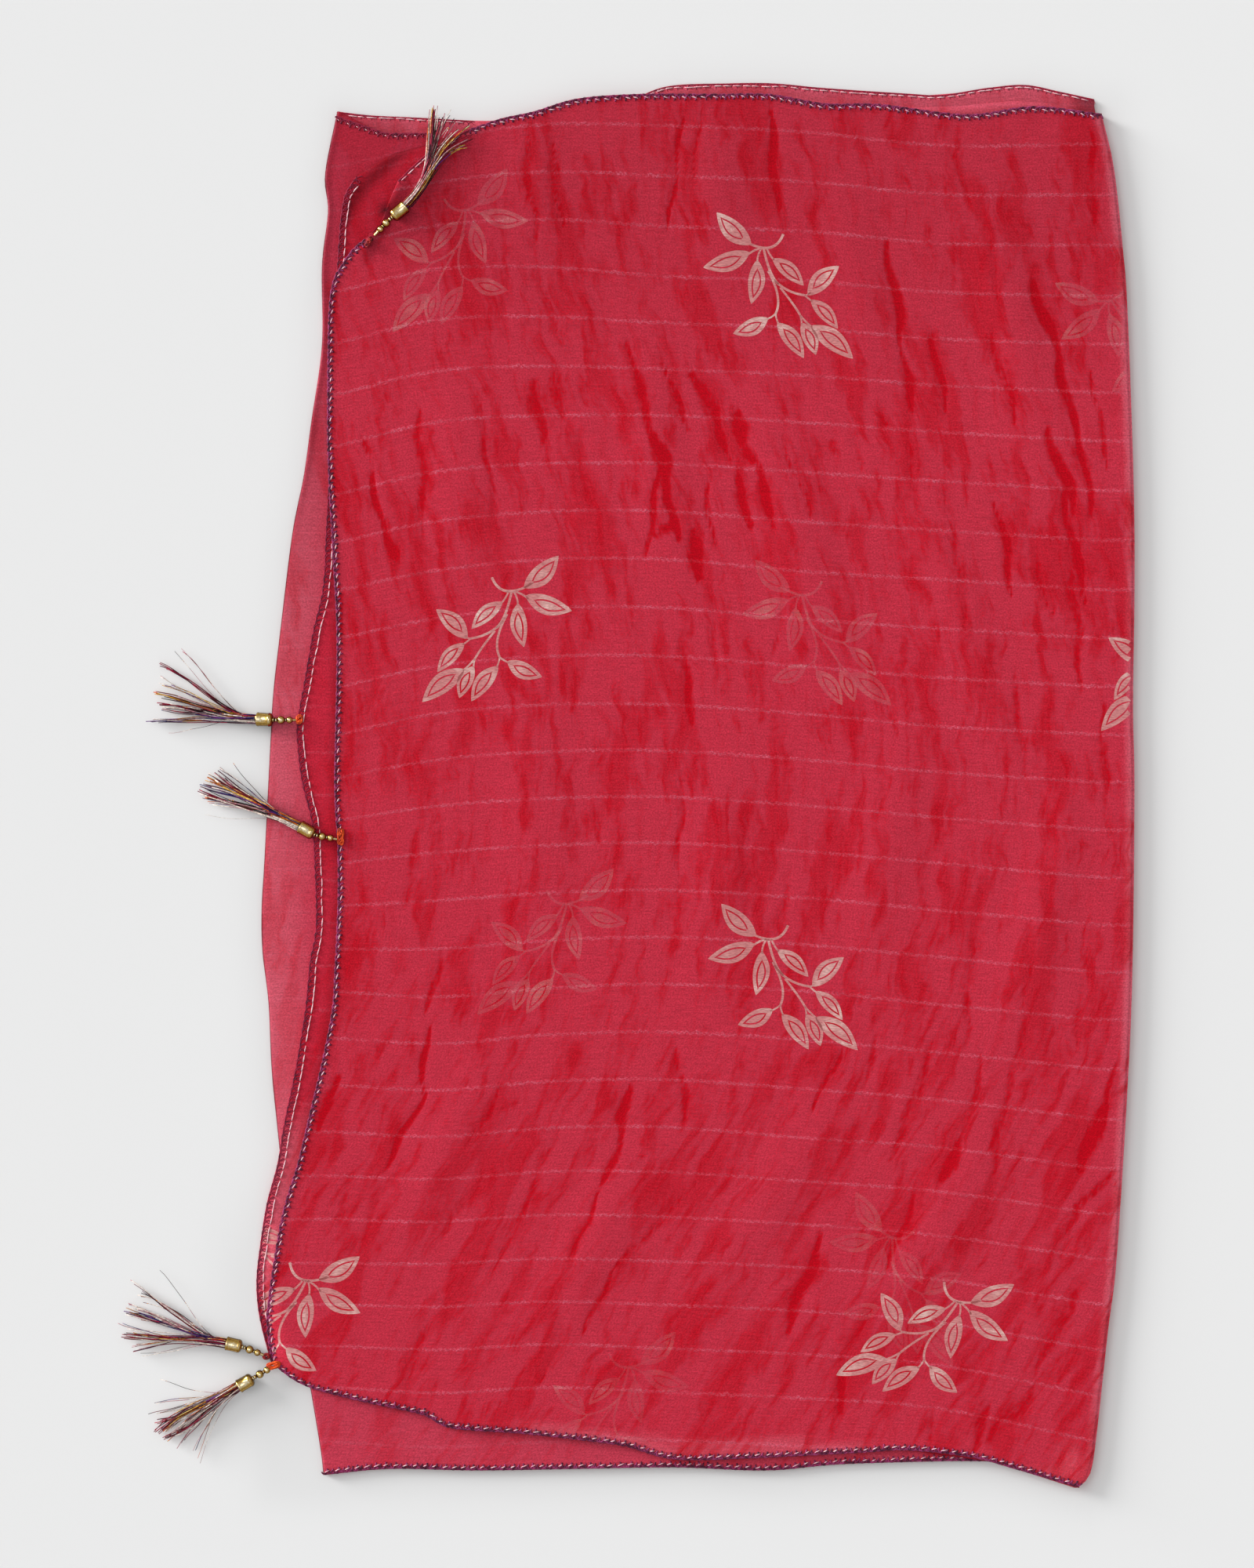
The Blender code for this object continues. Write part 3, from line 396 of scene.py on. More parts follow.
class ScarfSizes(bpy.types.PropertyGroup):
    """Sizes that can be changed without leaving the frame's solids."""

    cloth_thickness: bpy.props.FloatProperty(
        name="Cloth thickness", description="Thickness of the thin woven cloth", subtype="DISTANCE",
        unit="LENGTH", default=0.0003, min=0.0001, max=0.001)
    camera_height: bpy.props.FloatProperty(
        name="Camera height", description="Height of the camera over the table", subtype="DISTANCE",
        unit="LENGTH", default=3.0, min=1.0, max=10.0)
    key_strength: bpy.props.FloatProperty(
        name="Key light", description="Strength of the soft light from the left", default=4.2, min=0.0)
    fill_strength: bpy.props.FloatProperty(
        name="Fill light", description="Strength of the even light from all round", default=0.492, min=0.0)


def photo_place(x, y):
    """A pixel of the photo as millimetres in the frame."""
    x, y = np.asarray(x, dtype=float), np.asarray(y, dtype=float)
    return (x - PHOTO_ZERO_X) * PIXEL, (PHOTO_ZERO_Y - y) * PIXEL


def smooth_step(value):
    """Rises from 0 to 1 with level ends: 3 t squared minus 2 t cubed."""
    limited = np.clip(value, 0.0, 1.0)
    return limited * limited * (3.0 - 2.0 * limited)


def ramp(value, start, end):
    """Rises smoothly from 0 to 1 as the value goes from start to end, which may be the lower one."""
    return smooth_step((value - start) / (end - start))


def bell_curve(*offsets):
    """1 in the middle, falling as e to the minus sum of the squared offsets."""
    return np.exp(-sum(offset ** 2 for offset in offsets))


def smooth_curve(points, steps=10):
    """Catmull-Rom curve through points, any number of axes."""
    knots = np.array(points, dtype=float)
    padded = np.vstack([2 * knots[0] - knots[1], knots, 2 * knots[-1] - knots[-2]])
    part = np.linspace(0.0, 1.0, steps + 1)[:-1, None]
    pieces = []
    for before, start, end, after in zip(padded, padded[1:], padded[2:], padded[3:]):
        pieces.append(0.5 * (2 * start + (end - before) * part
                             + (2 * before - 5 * start + 4 * end - after) * part ** 2
                             + (3 * start - before - 3 * end + after) * part ** 3))
    return np.vstack(pieces + [knots[-1:]])


def travelled(curve):
    """The length of a curve up to each of its points."""
    return np.concatenate([[0.0], np.cumsum(np.linalg.norm(np.diff(curve, axis=0), axis=1))])


def along_edge(points, fractions):
    """A smooth edge read at fractions of its length."""
    curve = smooth_curve(points, 8)
    length = travelled(curve)
    return np.column_stack([np.interp(fractions, length / length[-1], curve[:, axis]) for axis in (0, 1)])


def panel_places(left, right, lower, upper, across, up):
    """Coons patch: the sum of the two ruled surfaces between opposite edges, less the corners' one."""
    u = across[None, :, None]
    v = up[:, None, None]
    left_points = along_edge(left, up)[:, None, :]
    right_points = along_edge(right, up)[:, None, :]
    lower_points = along_edge(lower, across)[None, :, :]
    upper_points = along_edge(upper, across)[None, :, :]
    corners = ((1 - u) * (1 - v) * lower_points[:, :1] + u * (1 - v) * lower_points[:, -1:]
               + (1 - u) * v * upper_points[:, :1] + u * v * upper_points[:, -1:])
    return (1 - u) * left_points + u * right_points + (1 - v) * lower_points + v * upper_points - corners


def edge_x(edge, y):
    """The x of a left or right edge at these y, along straight lines between its points."""
    return np.interp(y, *np.array(edge, dtype=float)[:, ::-1].T)


def edge_y(edge, x):
    """The y of a lower or upper edge at these x, along straight lines between its points."""
    return np.interp(x, *np.array(edge, dtype=float).T)


def on_under_fold(x, y):
    """1 over the two lowest layers, 0 where the cloth has drooped past their fold to the floor."""
    return ramp(x - edge_x(CENTRE_FOLD, y), -DROOP_REACH, -DROOP_START)


def bump(along, across, length, width):
    """A soft ridge: 1 in the middle, 0 beyond its length and width."""
    return smooth_step(1.0 - np.abs(along) / (0.5 * length)) * smooth_step(1.0 - np.abs(across) / width)


def soft_fold_height(x, y):
    """Height of the soft folds: each a ridge on a leaning line, the highest one counting."""
    height = np.zeros_like(x)
    for row in SOFT_FOLDS:
        fold = dict(zip(SOFT_FOLD_COLUMNS, row))
        lean = math.radians(fold["lean"])
        dx = x - fold["x"]
        dy = y - fold["y"]
        along = dy * math.cos(lean) - dx * math.sin(lean)
        across = dx * math.cos(lean) + dy * math.sin(lean)
        ridge = bump(along, across, fold["length"], fold["width"] * RIDGE_SPREAD)
        height = np.maximum(height, fold["height"] * ridge)
    return height


def corner_roll_height(x, y):
    """Height of the roll where the upper left corner has curled under."""
    foot = np.array(CORNER_ROLL["foot"], dtype=float)
    head = np.array(CORNER_ROLL["head"], dtype=float)
    span = np.linalg.norm(head - foot)
    line = (head - foot) / span
    along = (x - foot[0]) * line[0] + (y - foot[1]) * line[1]
    across = (x - foot[0]) * line[1] - (y - foot[1]) * line[0]
    near = smooth_step(1.0 - np.abs(across - CORNER_ROLL["width"]) / (2 * CORNER_ROLL["width"]))
    overrun, fade = CORNER_ROLL["overrun"], CORNER_ROLL["fade"]
    ends = smooth_step((along + overrun) / fade) * smooth_step((span + overrun - along) / fade)
    return CORNER_ROLL["height"] * near * ends


def cling_field(x, y):
    """How firmly the top layer clings to the one below: 1 along each mark, fading over its width.

    The places are first moved by slow waves along the marks, so that the marks wander.
    """
    field = np.zeros_like(x)
    x = x + 1.5 * np.sin(y / 7.3 + x / 31) + 1.1 * np.sin(y / 17 - x / 23)
    for row in CLING_MARKS:
        mark = dict(zip(CLING_COLUMNS, row))
        x0, y0 = photo_place(mark["upper_x"], mark["upper_y"])
        x1, y1 = photo_place(mark["lower_x"], mark["lower_y"])
        span = math.hypot(x1 - x0, y1 - y0)
        along = ((x - x0) * (x1 - x0) + (y - y0) * (y1 - y0)) / span ** 2
        nearest = np.clip(along, 0.0, 1.0)
        distance = np.hypot(x - x0 - nearest * (x1 - x0), y - y0 - nearest * (y1 - y0))
        half = 0.5 * mark["width"] * PIXEL * (0.4 + 0.6 * np.sin(math.pi * np.clip(nearest, 0.04, 0.96)))
        field = np.maximum(field, mark["depth"] * np.clip(1.1 - 0.5 * distance / half, 0.0, 1.0))
    return field


def lean_shift(x, y):
    """How far along x a mark that starts level with the table's middle has moved at this height."""
    heights = np.linspace(LEAN_Y[0], LEAN_Y[-1], 200)
    slopes = np.interp(heights, LEAN_Y, LEAN_SLOPE)
    shift = np.concatenate([[0.0], np.cumsum(0.5 * (slopes[1:] + slopes[:-1]) * np.diff(heights))]) * PIXEL
    photo_y = PHOTO_ZERO_Y - y / PIXEL
    return np.interp(photo_y, heights, shift)


def woven_line_number(x, y):
    """The number of the woven line at a place, read between the charted lines."""
    photo_x = x / PIXEL + PHOTO_ZERO_X
    photo_y = PHOTO_ZERO_Y - y / PIXEL
    rows = []
    for _, heights in WOVEN_LINES:
        curve = smooth_curve(np.column_stack([LINE_X, heights]), 6)
        rows.append(np.interp(photo_x, curve[:, 0], curve[:, 1]))
    numbers = [number for number, _ in WOVEN_LINES]
    pitch = LINE_PITCH / PIXEL
    result = numbers[0] + (photo_y - rows[0]) / pitch
    for index in range(len(rows) - 1):
        part = (photo_y - rows[index]) / (rows[index + 1] - rows[index])
        between = numbers[index] + part * (numbers[index + 1] - numbers[index])
        result = np.where(photo_y >= rows[index], between, result)
    return np.where(photo_y >= rows[-1], numbers[-1] + (photo_y - rows[-1]) / pitch, result)


def top_height(x, y):
    """Height of the upper face of the top layer."""
    held = on_under_fold(x, y)
    z = held * (UNDER_HEIGHT + CLEARANCE) + WALL + LAYER_PITCH + DROOP_LOOSENESS * 4 * held * (1 - held)
    level = smooth_step((RIGHT_FOLD[-1][0] - FOLD_INSET + 10 - x) / 30)
    level = level * smooth_step((x - TOP_LEFT_HEM[-1][0] + 60) / 40)
    return z + soft_fold_height(x, y) * level + corner_roll_height(x, y) - 0.25 * cling_field(x, y) * level


def second_height(x, y):
    """Height of the upper face of the second layer."""
    return on_under_fold(x, y) * (UNDER_HEIGHT + CLEARANCE) + WALL


def under_height(x, y):
    """Height of the upper face of the two lowest layers."""
    return np.full_like(np.asarray(x, dtype=float), UNDER_HEIGHT)


def add_object(name, mesh, material):
    """Links a mesh as a piece that rides on the scarf and takes its finish from a slot."""
    item = bpy.data.objects.new(name, mesh)
    bpy.context.scene.collection.objects.link(item)
    item.data.materials.append(material)
    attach(item, BODY)
    return item


def mesh_from(name, places, faces):
    """A mesh from places in millimetres and faces as rows of indices."""
    mesh = bpy.data.meshes.new(name)
    mesh.from_pydata((np.asarray(places).reshape(-1, 3) * MM).tolist(), [], faces)
    mesh.shade_smooth()
    return mesh


def grid_faces(rows, columns, offset=0):
    """Quads of a grid of rows by columns."""
    index = np.arange(rows * columns).reshape(rows, columns) + offset
    return np.stack([index[:-1, :-1], index[:-1, 1:], index[1:, 1:], index[1:, :-1]], axis=2).reshape(-1, 4)


def tubes(paths, radii, sides):
    """Closed tubes round several paths at once.

    Each path's direction is crossed with up to give its side and rise, and a ring of points is set round
    it. paths is (tubes, points, 3) and radii (tubes, points). The ends are closed with one face each.
    """
    count, points, _ = paths.shape
    ahead = np.gradient(paths, axis=1)
    ahead /= np.linalg.norm(ahead, axis=2, keepdims=True) + 1e-12
    upward = np.where(np.abs(ahead[..., 2:]) > 0.95, np.array([1.0, 0.0, 0.0]), np.array([0.0, 0.0, 1.0]))
    side = np.cross(upward, ahead)
    side /= np.linalg.norm(side, axis=2, keepdims=True) + 1e-12
    rise = np.cross(ahead, side)
    turn = np.linspace(0.0, 2 * math.pi, sides, endpoint=False)
    ring = (np.cos(turn)[None, None, :, None] * side[:, :, None, :]
            + np.sin(turn)[None, None, :, None] * rise[:, :, None, :])
    places = paths[:, :, None, :] + ring * radii[:, :, None, None]
    index = np.arange(count * points * sides).reshape(count, points, sides)
    turned = np.roll(index, -1, axis=2)
    walls = np.stack([index[:, :-1], turned[:, :-1], turned[:, 1:], index[:, 1:]], axis=3).reshape(-1, 4)
    first = index[:, 0, ::-1].reshape(-1, sides)
    last = index[:, -1, :].reshape(-1, sides)
    return places.reshape(-1, 3), walls.tolist() + first.tolist() + last.tolist()


def add_tubes(name, paths, radii, sides, material):
    """A piece made of closed tubes round several paths."""
    places, faces = tubes(paths, radii, sides)
    return add_object(name, mesh_from(name, places, faces), material)


def point_values(mesh, name, values):
    """Stores one number for each vertex."""
    attribute = mesh.attributes.new(name, "FLOAT", "POINT")
    attribute.data.foreach_set("value", np.asarray(values, dtype=np.float32).ravel())


def corner_map(mesh, name, u, v):
    """Stores a map from two numbers for each vertex."""
    layer = mesh.uv_layers.new(name=name)
    corners = np.empty(len(mesh.loops), dtype=np.int32)
    mesh.loops.foreach_get("vertex_index", corners)
    pairs = np.column_stack([np.ravel(u)[corners], np.ravel(v)[corners]])
    layer.data.foreach_set("uv", pairs.astype(np.float32).ravel())


def put(tree, kind, inputs=None, **settings):
    """Adds a node, sets its settings, and sets or links its inputs."""
    node = tree.nodes.new(kind)
    for name, value in settings.items():
        setattr(node, name, value)
    for key, value in (inputs or {}).items():
        if isinstance(value, bpy.types.NodeSocket):
            tree.links.new(value, node.inputs[key])
        else:
            node.inputs[key].default_value = value
    return node


def new_material(name):
    """An empty node material with its tree and output."""
    material = bpy.data.materials.new(name)
    material.use_nodes = True
    material.node_tree.nodes.clear()
    return material, material.node_tree


def opaque(colour):
    """Red, green and blue with an alpha of one."""
    return (*colour, 1.0)


def stretched_noise(tree, place, scale, detail, roughness=0.5):
    """Noise read at places stretched by a scale for each axis, in turns for each metre."""
    stretched = put(tree, "ShaderNodeMapping", {"Vector": place, "Scale": (*scale, 1.0)}).outputs[0]
    return put(tree, "ShaderNodeTexNoise", {"Vector": stretched, "Scale": 1.0, "Detail": detail,
                                            "Roughness": roughness}).outputs["Fac"]


def toned(tree, colour, tone):
    """A colour multiplied by a grey tone."""
    grey = put(tree, "ShaderNodeCombineColor", {0: tone, 1: tone, 2: tone}).outputs[0]
    return put(tree, "ShaderNodeMix", {"Factor": 1.0, "A": colour, "B": grey}, data_type="RGBA",
               blend_type="MULTIPLY").outputs["Result"]


def blended(tree, share, first, second):
    """A mix of two colours, from the first at 0 to the second at 1."""
    return put(tree, "ShaderNodeMix", {"Factor": share, "A": first, "B": second},
               data_type="RGBA").outputs["Result"]


def woven_cloth_material(name, tint, cling_share, line_strength):
    """Thin plain-woven cloth, dyed crimson: soft, with hardly any gloss.

    Cloth that clings to the layer below is deeper and clearer red, and the loose rest is greyed by the
    weave. Thicker weft threads stand out every 31.5 mm as rows of pale slanting hatches.
    """
    colours = bpy.context.scene.scarf_colours
    material, tree = new_material(name)
    grain, lines = (put(tree, "ShaderNodeUVMap", uv_map=label).outputs[0] for label in ("grain", "lines"))
    cling, thin, shade = (put(tree, "ShaderNodeAttribute", attribute_name=label).outputs["Fac"]
                          for label in CLOTH_VALUES)

    # Noise drawn out along the lean of the folds, from broad bands to hair streaks, and read at places
    # that wander by about 3 mm so that the streaks bend
    swirl = put(tree, "ShaderNodeTexNoise", {"Vector": grain, "Scale": 30.0, "Detail": 2.0}).outputs["Color"]
    wandering = put(tree, "ShaderNodeVectorMath", {0: swirl, 1: WANDER, 2: grain},
                    operation="MULTIPLY_ADD").outputs[0]
    drawn_out = {label: stretched_noise(tree, wandering, scale, detail, 0.6)
                 for label, scale, detail in STREAKS}
    speckle = put(tree, "ShaderNodeTexNoise", {"Vector": grain, "Scale": 900.0, "Detail": 2.0}).outputs["Fac"]
    middle = put(tree, "ShaderNodeMath", {0: drawn_out["middle"], 1: 0.55, 2: -0.5},
                 operation="MULTIPLY_ADD").outputs[0]
    rough = put(tree, "ShaderNodeMath", {0: drawn_out["fine"], 1: 0.30, 2: middle},
                operation="MULTIPLY_ADD").outputs[0]
    ragged = put(tree, "ShaderNodeMath", {0: speckle, 1: 0.30, 2: rough}, operation="MULTIPLY_ADD").outputs[0]

    # Clear marks where the table says, mottled half marks where the broad noise is high
    field = put(tree, "ShaderNodeMath", {0: ragged, 1: 1.9, 2: cling}, operation="MULTIPLY_ADD").outputs[0]
    clear = put(tree, "ShaderNodeMapRange", {"Value": field, "From Min": 0.36, "From Max": 0.88},
                interpolation_type="SMOOTHSTEP").outputs[0]
    near = put(tree, "ShaderNodeMath", {0: cling, 1: 0.14, 2: drawn_out["broad"]},
               operation="MULTIPLY_ADD").outputs[0]
    wide = put(tree, "ShaderNodeMath", {0: near, 1: 1.15, 2: -0.145}, operation="MULTIPLY_ADD").outputs[0]
    mottled = put(tree, "ShaderNodeMath", {0: ragged, 1: 0.85, 2: wide}, operation="MULTIPLY_ADD").outputs[0]
    half = put(tree, "ShaderNodeMapRange", {"Value": mottled, "From Min": 0.45, "From Max": 0.64,
                                            "To Max": 0.55}, interpolation_type="SMOOTHSTEP").outputs[0]
    patchy = put(tree, "ShaderNodeMapRange", {"Value": drawn_out["middle"], "From Min": 0.50,
                                              "From Max": 0.66, "To Max": 0.24},
                 interpolation_type="SMOOTHSTEP").outputs[0]
    streaks = put(tree, "ShaderNodeMapRange", {"Value": drawn_out["hair"], "From Min": 0.48, "From Max": 0.75,
                                               "To Max": 0.14}).outputs[0]
    soft = put(tree, "ShaderNodeMath", {0: half, 1: patchy}, operation="ADD").outputs[0]
    loose = put(tree, "ShaderNodeMath", {0: soft, 1: streaks}, operation="ADD").outputs[0]
    marks = put(tree, "ShaderNodeMath", {0: clear, 1: loose}, operation="MAXIMUM").outputs[0]
    share = put(tree, "ShaderNodeMath", {0: marks, 1: cling_share}, operation="MULTIPLY",
                use_clamp=True).outputs[0]

    # Weft threads, seen as fine level lines, drawn coarser than the real 0.25 mm so that they show
    weft = stretched_noise(tree, lines, (70.0, 21.0), 3.0, 0.75)
    weft_tone = put(tree, "ShaderNodeMapRange", {"Value": weft, "From Min": 0.3, "From Max": 0.7,
                                                 "To Min": 0.87, "To Max": 1.13}).outputs[0]
    speckle_tone = put(tree, "ShaderNodeMapRange", {"Value": speckle, "From Min": 0.3, "From Max": 0.7,
                                                    "To Min": 0.75, "To Max": 1.25}).outputs[0]
    woven_tone = put(tree, "ShaderNodeMath", {0: weft_tone, 1: speckle_tone}, operation="MULTIPLY").outputs[0]
    # Painted shade: the shade value darkens the colour by half its amount, and below zero it paints light
    shaded = put(tree, "ShaderNodeMath", {0: shade, 1: -0.5, 2: 1.0}, operation="MULTIPLY_ADD").outputs[0]
    tone = put(tree, "ShaderNodeMath", {0: woven_tone, 1: shaded}, operation="MULTIPLY").outputs[0]

    # The woven lines nearly vanish where the cloth clings
    bare = put(tree, "ShaderNodeMath", {0: share, 1: -0.75 * line_strength, 2: line_strength},
               operation="MULTIPLY_ADD").outputs[0]
    line_share = put(tree, "ShaderNodeMath", {0: woven_line_share(tree, lines), 1: bare},
                     operation="MULTIPLY").outputs[0]
    base = blended(tree, thin, opaque(tint), opaque(colours.thin))
    dyed = blended(tree, share, base, opaque(colours.cling))
    colour = toned(tree, blended(tree, line_share, dyed, opaque(colours.weave)), tone)

    raised = put(tree, "ShaderNodeMath", {0: line_share, 1: 1.6, 2: weft},
                 operation="MULTIPLY_ADD").outputs[0]
    sunk = put(tree, "ShaderNodeMath", {0: clear, 1: -0.8, 2: raised}, operation="MULTIPLY_ADD").outputs[0]
    relief = put(tree, "ShaderNodeBump", {"Strength": 0.3, "Distance": 0.0003, "Height": sunk})
    shader = put(tree, "ShaderNodeBsdfPrincipled", {
        "Base Color": colour, "Roughness": 0.75, "Specular IOR Level": 0.06, "Sheen Weight": 0.02,
        "Sheen Roughness": 0.4, "Normal": relief.outputs[0]})
    put(tree, "ShaderNodeOutputMaterial", {"Surface": shader.outputs[0]})
    return material


def woven_line_share(tree, lines):
    """How much of a thicker weft thread shows: grains within 1.5 mm of each whole line number.

    The grains are a fine noise, times a slower noise that lets the line fade and come back.
    """
    split = put(tree, "ShaderNodeSeparateXYZ", {0: lines}).outputs
    jitter = stretched_noise(tree, lines, (300.0, 2.0), 2.0)
    nudged = put(tree, "ShaderNodeMath", {0: jitter, 1: 0.14, 2: split["Y"]},
                 operation="MULTIPLY_ADD").outputs[0]
    centred = put(tree, "ShaderNodeMath", {0: nudged, 1: 0.43}, operation="ADD").outputs[0]
    whole = put(tree, "ShaderNodeMath", {0: centred}, operation="FRACT").outputs[0]
    off = put(tree, "ShaderNodeMath", {0: whole, 1: 0.5}, operation="SUBTRACT").outputs[0]
    distance = put(tree, "ShaderNodeMath", {0: off}, operation="ABSOLUTE").outputs[0]
    band = put(tree, "ShaderNodeMapRange", {"Value": distance, "From Min": 0.014, "From Max": 0.050,
                                            "To Min": 1.0, "To Max": 0.0},
               interpolation_type="SMOOTHSTEP").outputs[0]
    grain = stretched_noise(tree, lines, (620.0, 44.0), 1.0)
    hatch = put(tree, "ShaderNodeMapRange", {"Value": grain, "From Min": 0.42, "From Max": 0.60,
                                             "To Min": 0.12, "To Max": 1.25}).outputs[0]
    dash = stretched_noise(tree, lines, (38.0, 3.0), 4.0, 0.7)
    dashes = put(tree, "ShaderNodeMapRange", {"Value": dash, "From Min": 0.36, "From Max": 0.66,
                                              "To Min": 0.08, "To Max": 0.74}).outputs[0]
    hatched = put(tree, "ShaderNodeMath", {0: band, 1: hatch}, operation="MULTIPLY").outputs[0]
    return put(tree, "ShaderNodeMath", {0: hatched, 1: dashes}, operation="MULTIPLY").outputs[0]


def ink_material(name, ink_colour, strength):
    """Pigment printed on cloth: matt and pale, the weave showing through, whiter on the thick wefts."""
    material, tree = new_material(name)
    lines = put(tree, "ShaderNodeUVMap", uv_map="lines").outputs[0]
    place = put(tree, "ShaderNodeTexCoord").outputs["Object"]
    weave = stretched_noise(tree, place, (300.0, 1300.0), 2.0)
    patches = put(tree, "ShaderNodeTexNoise", {"Vector": place, "Scale": 60.0, "Detail": 3.0}).outputs["Fac"]
    tone = put(tree, "ShaderNodeMapRange", {"Value": weave, "From Min": 0.3, "From Max": 0.7, "To Min": 0.87,
                                            "To Max": 1.10}).outputs[0]
    light = put(tree, "ShaderNodeMapRange", {"Value": patches, "From Min": 0.50, "From Max": 0.80}).outputs[0]
    white = put(tree, "ShaderNodeMath", {0: light, 1: woven_line_share(tree, lines)}, operation="ADD",
                use_clamp=True).outputs[0]
    colour = toned(tree, blended(tree, white, opaque(ink_colour), opaque(linear("#E6C9C0"))), tone)
    shader = put(tree, "ShaderNodeBsdfPrincipled", {"Base Color": colour, "Roughness": 0.7,
                                                    "Specular IOR Level": 0.06}).outputs[0]
    wear_and_painted_light = put(tree, "ShaderNodeMapRange", {"Value": weave, "From Min": 0.30, "From Max": 0.55,
                                            "To Min": 0.72 * strength, "To Max": strength}).outputs[0]
    clear = put(tree, "ShaderNodeBsdfTransparent").outputs[0]
    mixed = put(tree, "ShaderNodeMixShader", {0: wear_and_painted_light, 1: clear, 2: shader}).outputs[0]
    put(tree, "ShaderNodeOutputMaterial", {"Surface": mixed})
    return material


def thread_material(name, colour, other, scale):
    """Twisted sewing thread: matt with a little lustre, its plies showing as fine slanting bands."""
    material, tree = new_material(name)
    place = put(tree, "ShaderNodeTexCoord").outputs["Object"]
    noise = put(tree, "ShaderNodeTexNoise", {"Vector": place, "Scale": scale, "Detail": 2.0}).outputs["Fac"]
    share = put(tree, "ShaderNodeMapRange", {"Value": noise, "From Min": 0.4, "From Max": 0.65}).outputs[0]
    mixed = blended(tree, share, opaque(colour), opaque(other))
    relief = put(tree, "ShaderNodeBump", {"Strength": 0.4, "Distance": 0.0002, "Height": noise})
    shader = put(tree, "ShaderNodeBsdfPrincipled", {
        "Base Color": mixed, "Roughness": 0.55, "Specular IOR Level": 0.2, "Sheen Weight": 0.04,
        "Normal": relief.outputs[0]})
    put(tree, "ShaderNodeOutputMaterial", {"Surface": shader.outputs[0]})
    return material


def yarn_material():
    """Silky space-dyed embroidery yarn: each clump has its own dye, which shifts along its length."""
    material, tree = new_material("Space-dyed yarn")
    dye = put(tree, "ShaderNodeAttribute", attribute_name="dye").outputs["Fac"]
    place = put(tree, "ShaderNodeTexCoord").outputs["Object"]
    plies = put(tree, "ShaderNodeTexNoise", {"Vector": place, "Scale": 650.0, "Detail": 2.0}).outputs["Fac"]
    dyes = put(tree, "ShaderNodeValToRGB", {"Fac": dye})
    dyes.color_ramp.interpolation = "CONSTANT"
    while len(dyes.color_ramp.elements) < len(YARN_DYES):
        dyes.color_ramp.elements.new(0.5)
    for element, (position, shade) in zip(dyes.color_ramp.elements, YARN_DYES):
        element.position = position
        element.color = opaque(linear(shade))
    tone = put(tree, "ShaderNodeMapRange", {"Value": plies, "From Min": 0.3, "From Max": 0.7,
                                            "To Min": 0.45, "To Max": 1.30}).outputs[0]
    shader = put(tree, "ShaderNodeBsdfPrincipled", {"Base Color": toned(tree, dyes.outputs["Color"], tone),
                                                    "Roughness": 0.45, "Specular IOR Level": 0.15})
    put(tree, "ShaderNodeOutputMaterial", {"Surface": shader.outputs[0]})
    return material


def brass_material(name):
    """Polished stamped brass: yellow metal, with a painted highlight where it faces up and painted dark
    reflections on its sides.
    """
    colours = bpy.context.scene.scarf_colours
    material, tree = new_material(name)
    place = put(tree, "ShaderNodeTexCoord")
    noise = put(tree, "ShaderNodeTexNoise", {"Vector": place.outputs["Object"], "Scale": 900.0,
                                             "Detail": 3.0}).outputs["Fac"]
    rough = put(tree, "ShaderNodeMapRange", {"Value": noise, "To Min": 0.08, "To Max": 0.22}).outputs[0]
    # Painted light: the upward normal, a little uneven, paints a cream highlight where the surface faces up
    # and a dark brown reflection on its sides
    upward = put(tree, "ShaderNodeSeparateXYZ", {"Vector": place.outputs["Normal"]}).outputs["Z"]
    uneven = put(tree, "ShaderNodeMath", {0: noise, 1: 0.30}, operation="MULTIPLY").outputs[0]
    wear_and_painted_light = put(tree, "ShaderNodeMath", {0: upward, 1: 0.85, 2: uneven}, operation="MULTIPLY_ADD").outputs[0]
    painted_dark_sides = put(tree, "ShaderNodeMapRange", {"Value": wear_and_painted_light, "From Min": 0.42, "From Max": 0.88,
                                               "To Min": 0.95, "To Max": 0.0}).outputs[0]
    dark = blended(tree, painted_dark_sides, opaque(colours.brass), opaque(linear("#4E3612")))
    painted_highlight = put(tree, "ShaderNodeMapRange", {"Value": wear_and_painted_light, "From Min": 0.90, "From Max": 1.0,
                                              "To Max": 0.85}).outputs[0]
    mixed = blended(tree, painted_highlight, dark, opaque(linear("#FFF3D0")))
    shader = put(tree, "ShaderNodeBsdfPrincipled", {"Base Color": mixed, "Metallic": 1.0, "Roughness": rough})
    put(tree, "ShaderNodeOutputMaterial", {"Surface": shader.outputs[0]})
    return material


def cloth_sheet(name, x, y, z, values, material, line_shift):
    """A thin cloth from a grid of places, with the maps and values that its material reads."""
    mesh = mesh_from(name, np.stack([x, y, z], axis=2), grid_faces(*x.shape).tolist())
    corner_map(mesh, "grain", (x - lean_shift(x, y)) * MM, y * MM)
    corner_map(mesh, "lines", x * MM, -woven_line_number(x, y) + line_shift)
    for label in CLOTH_VALUES:
        point_values(mesh, label, values[label])
    item = add_object(name, mesh, material)
    wall = item.modifiers.new("Cloth thickness", "SOLIDIFY")
    wall.thickness = bpy.context.scene.scarf_sizes.cloth_thickness
    wall.offset = -1.0
    return item


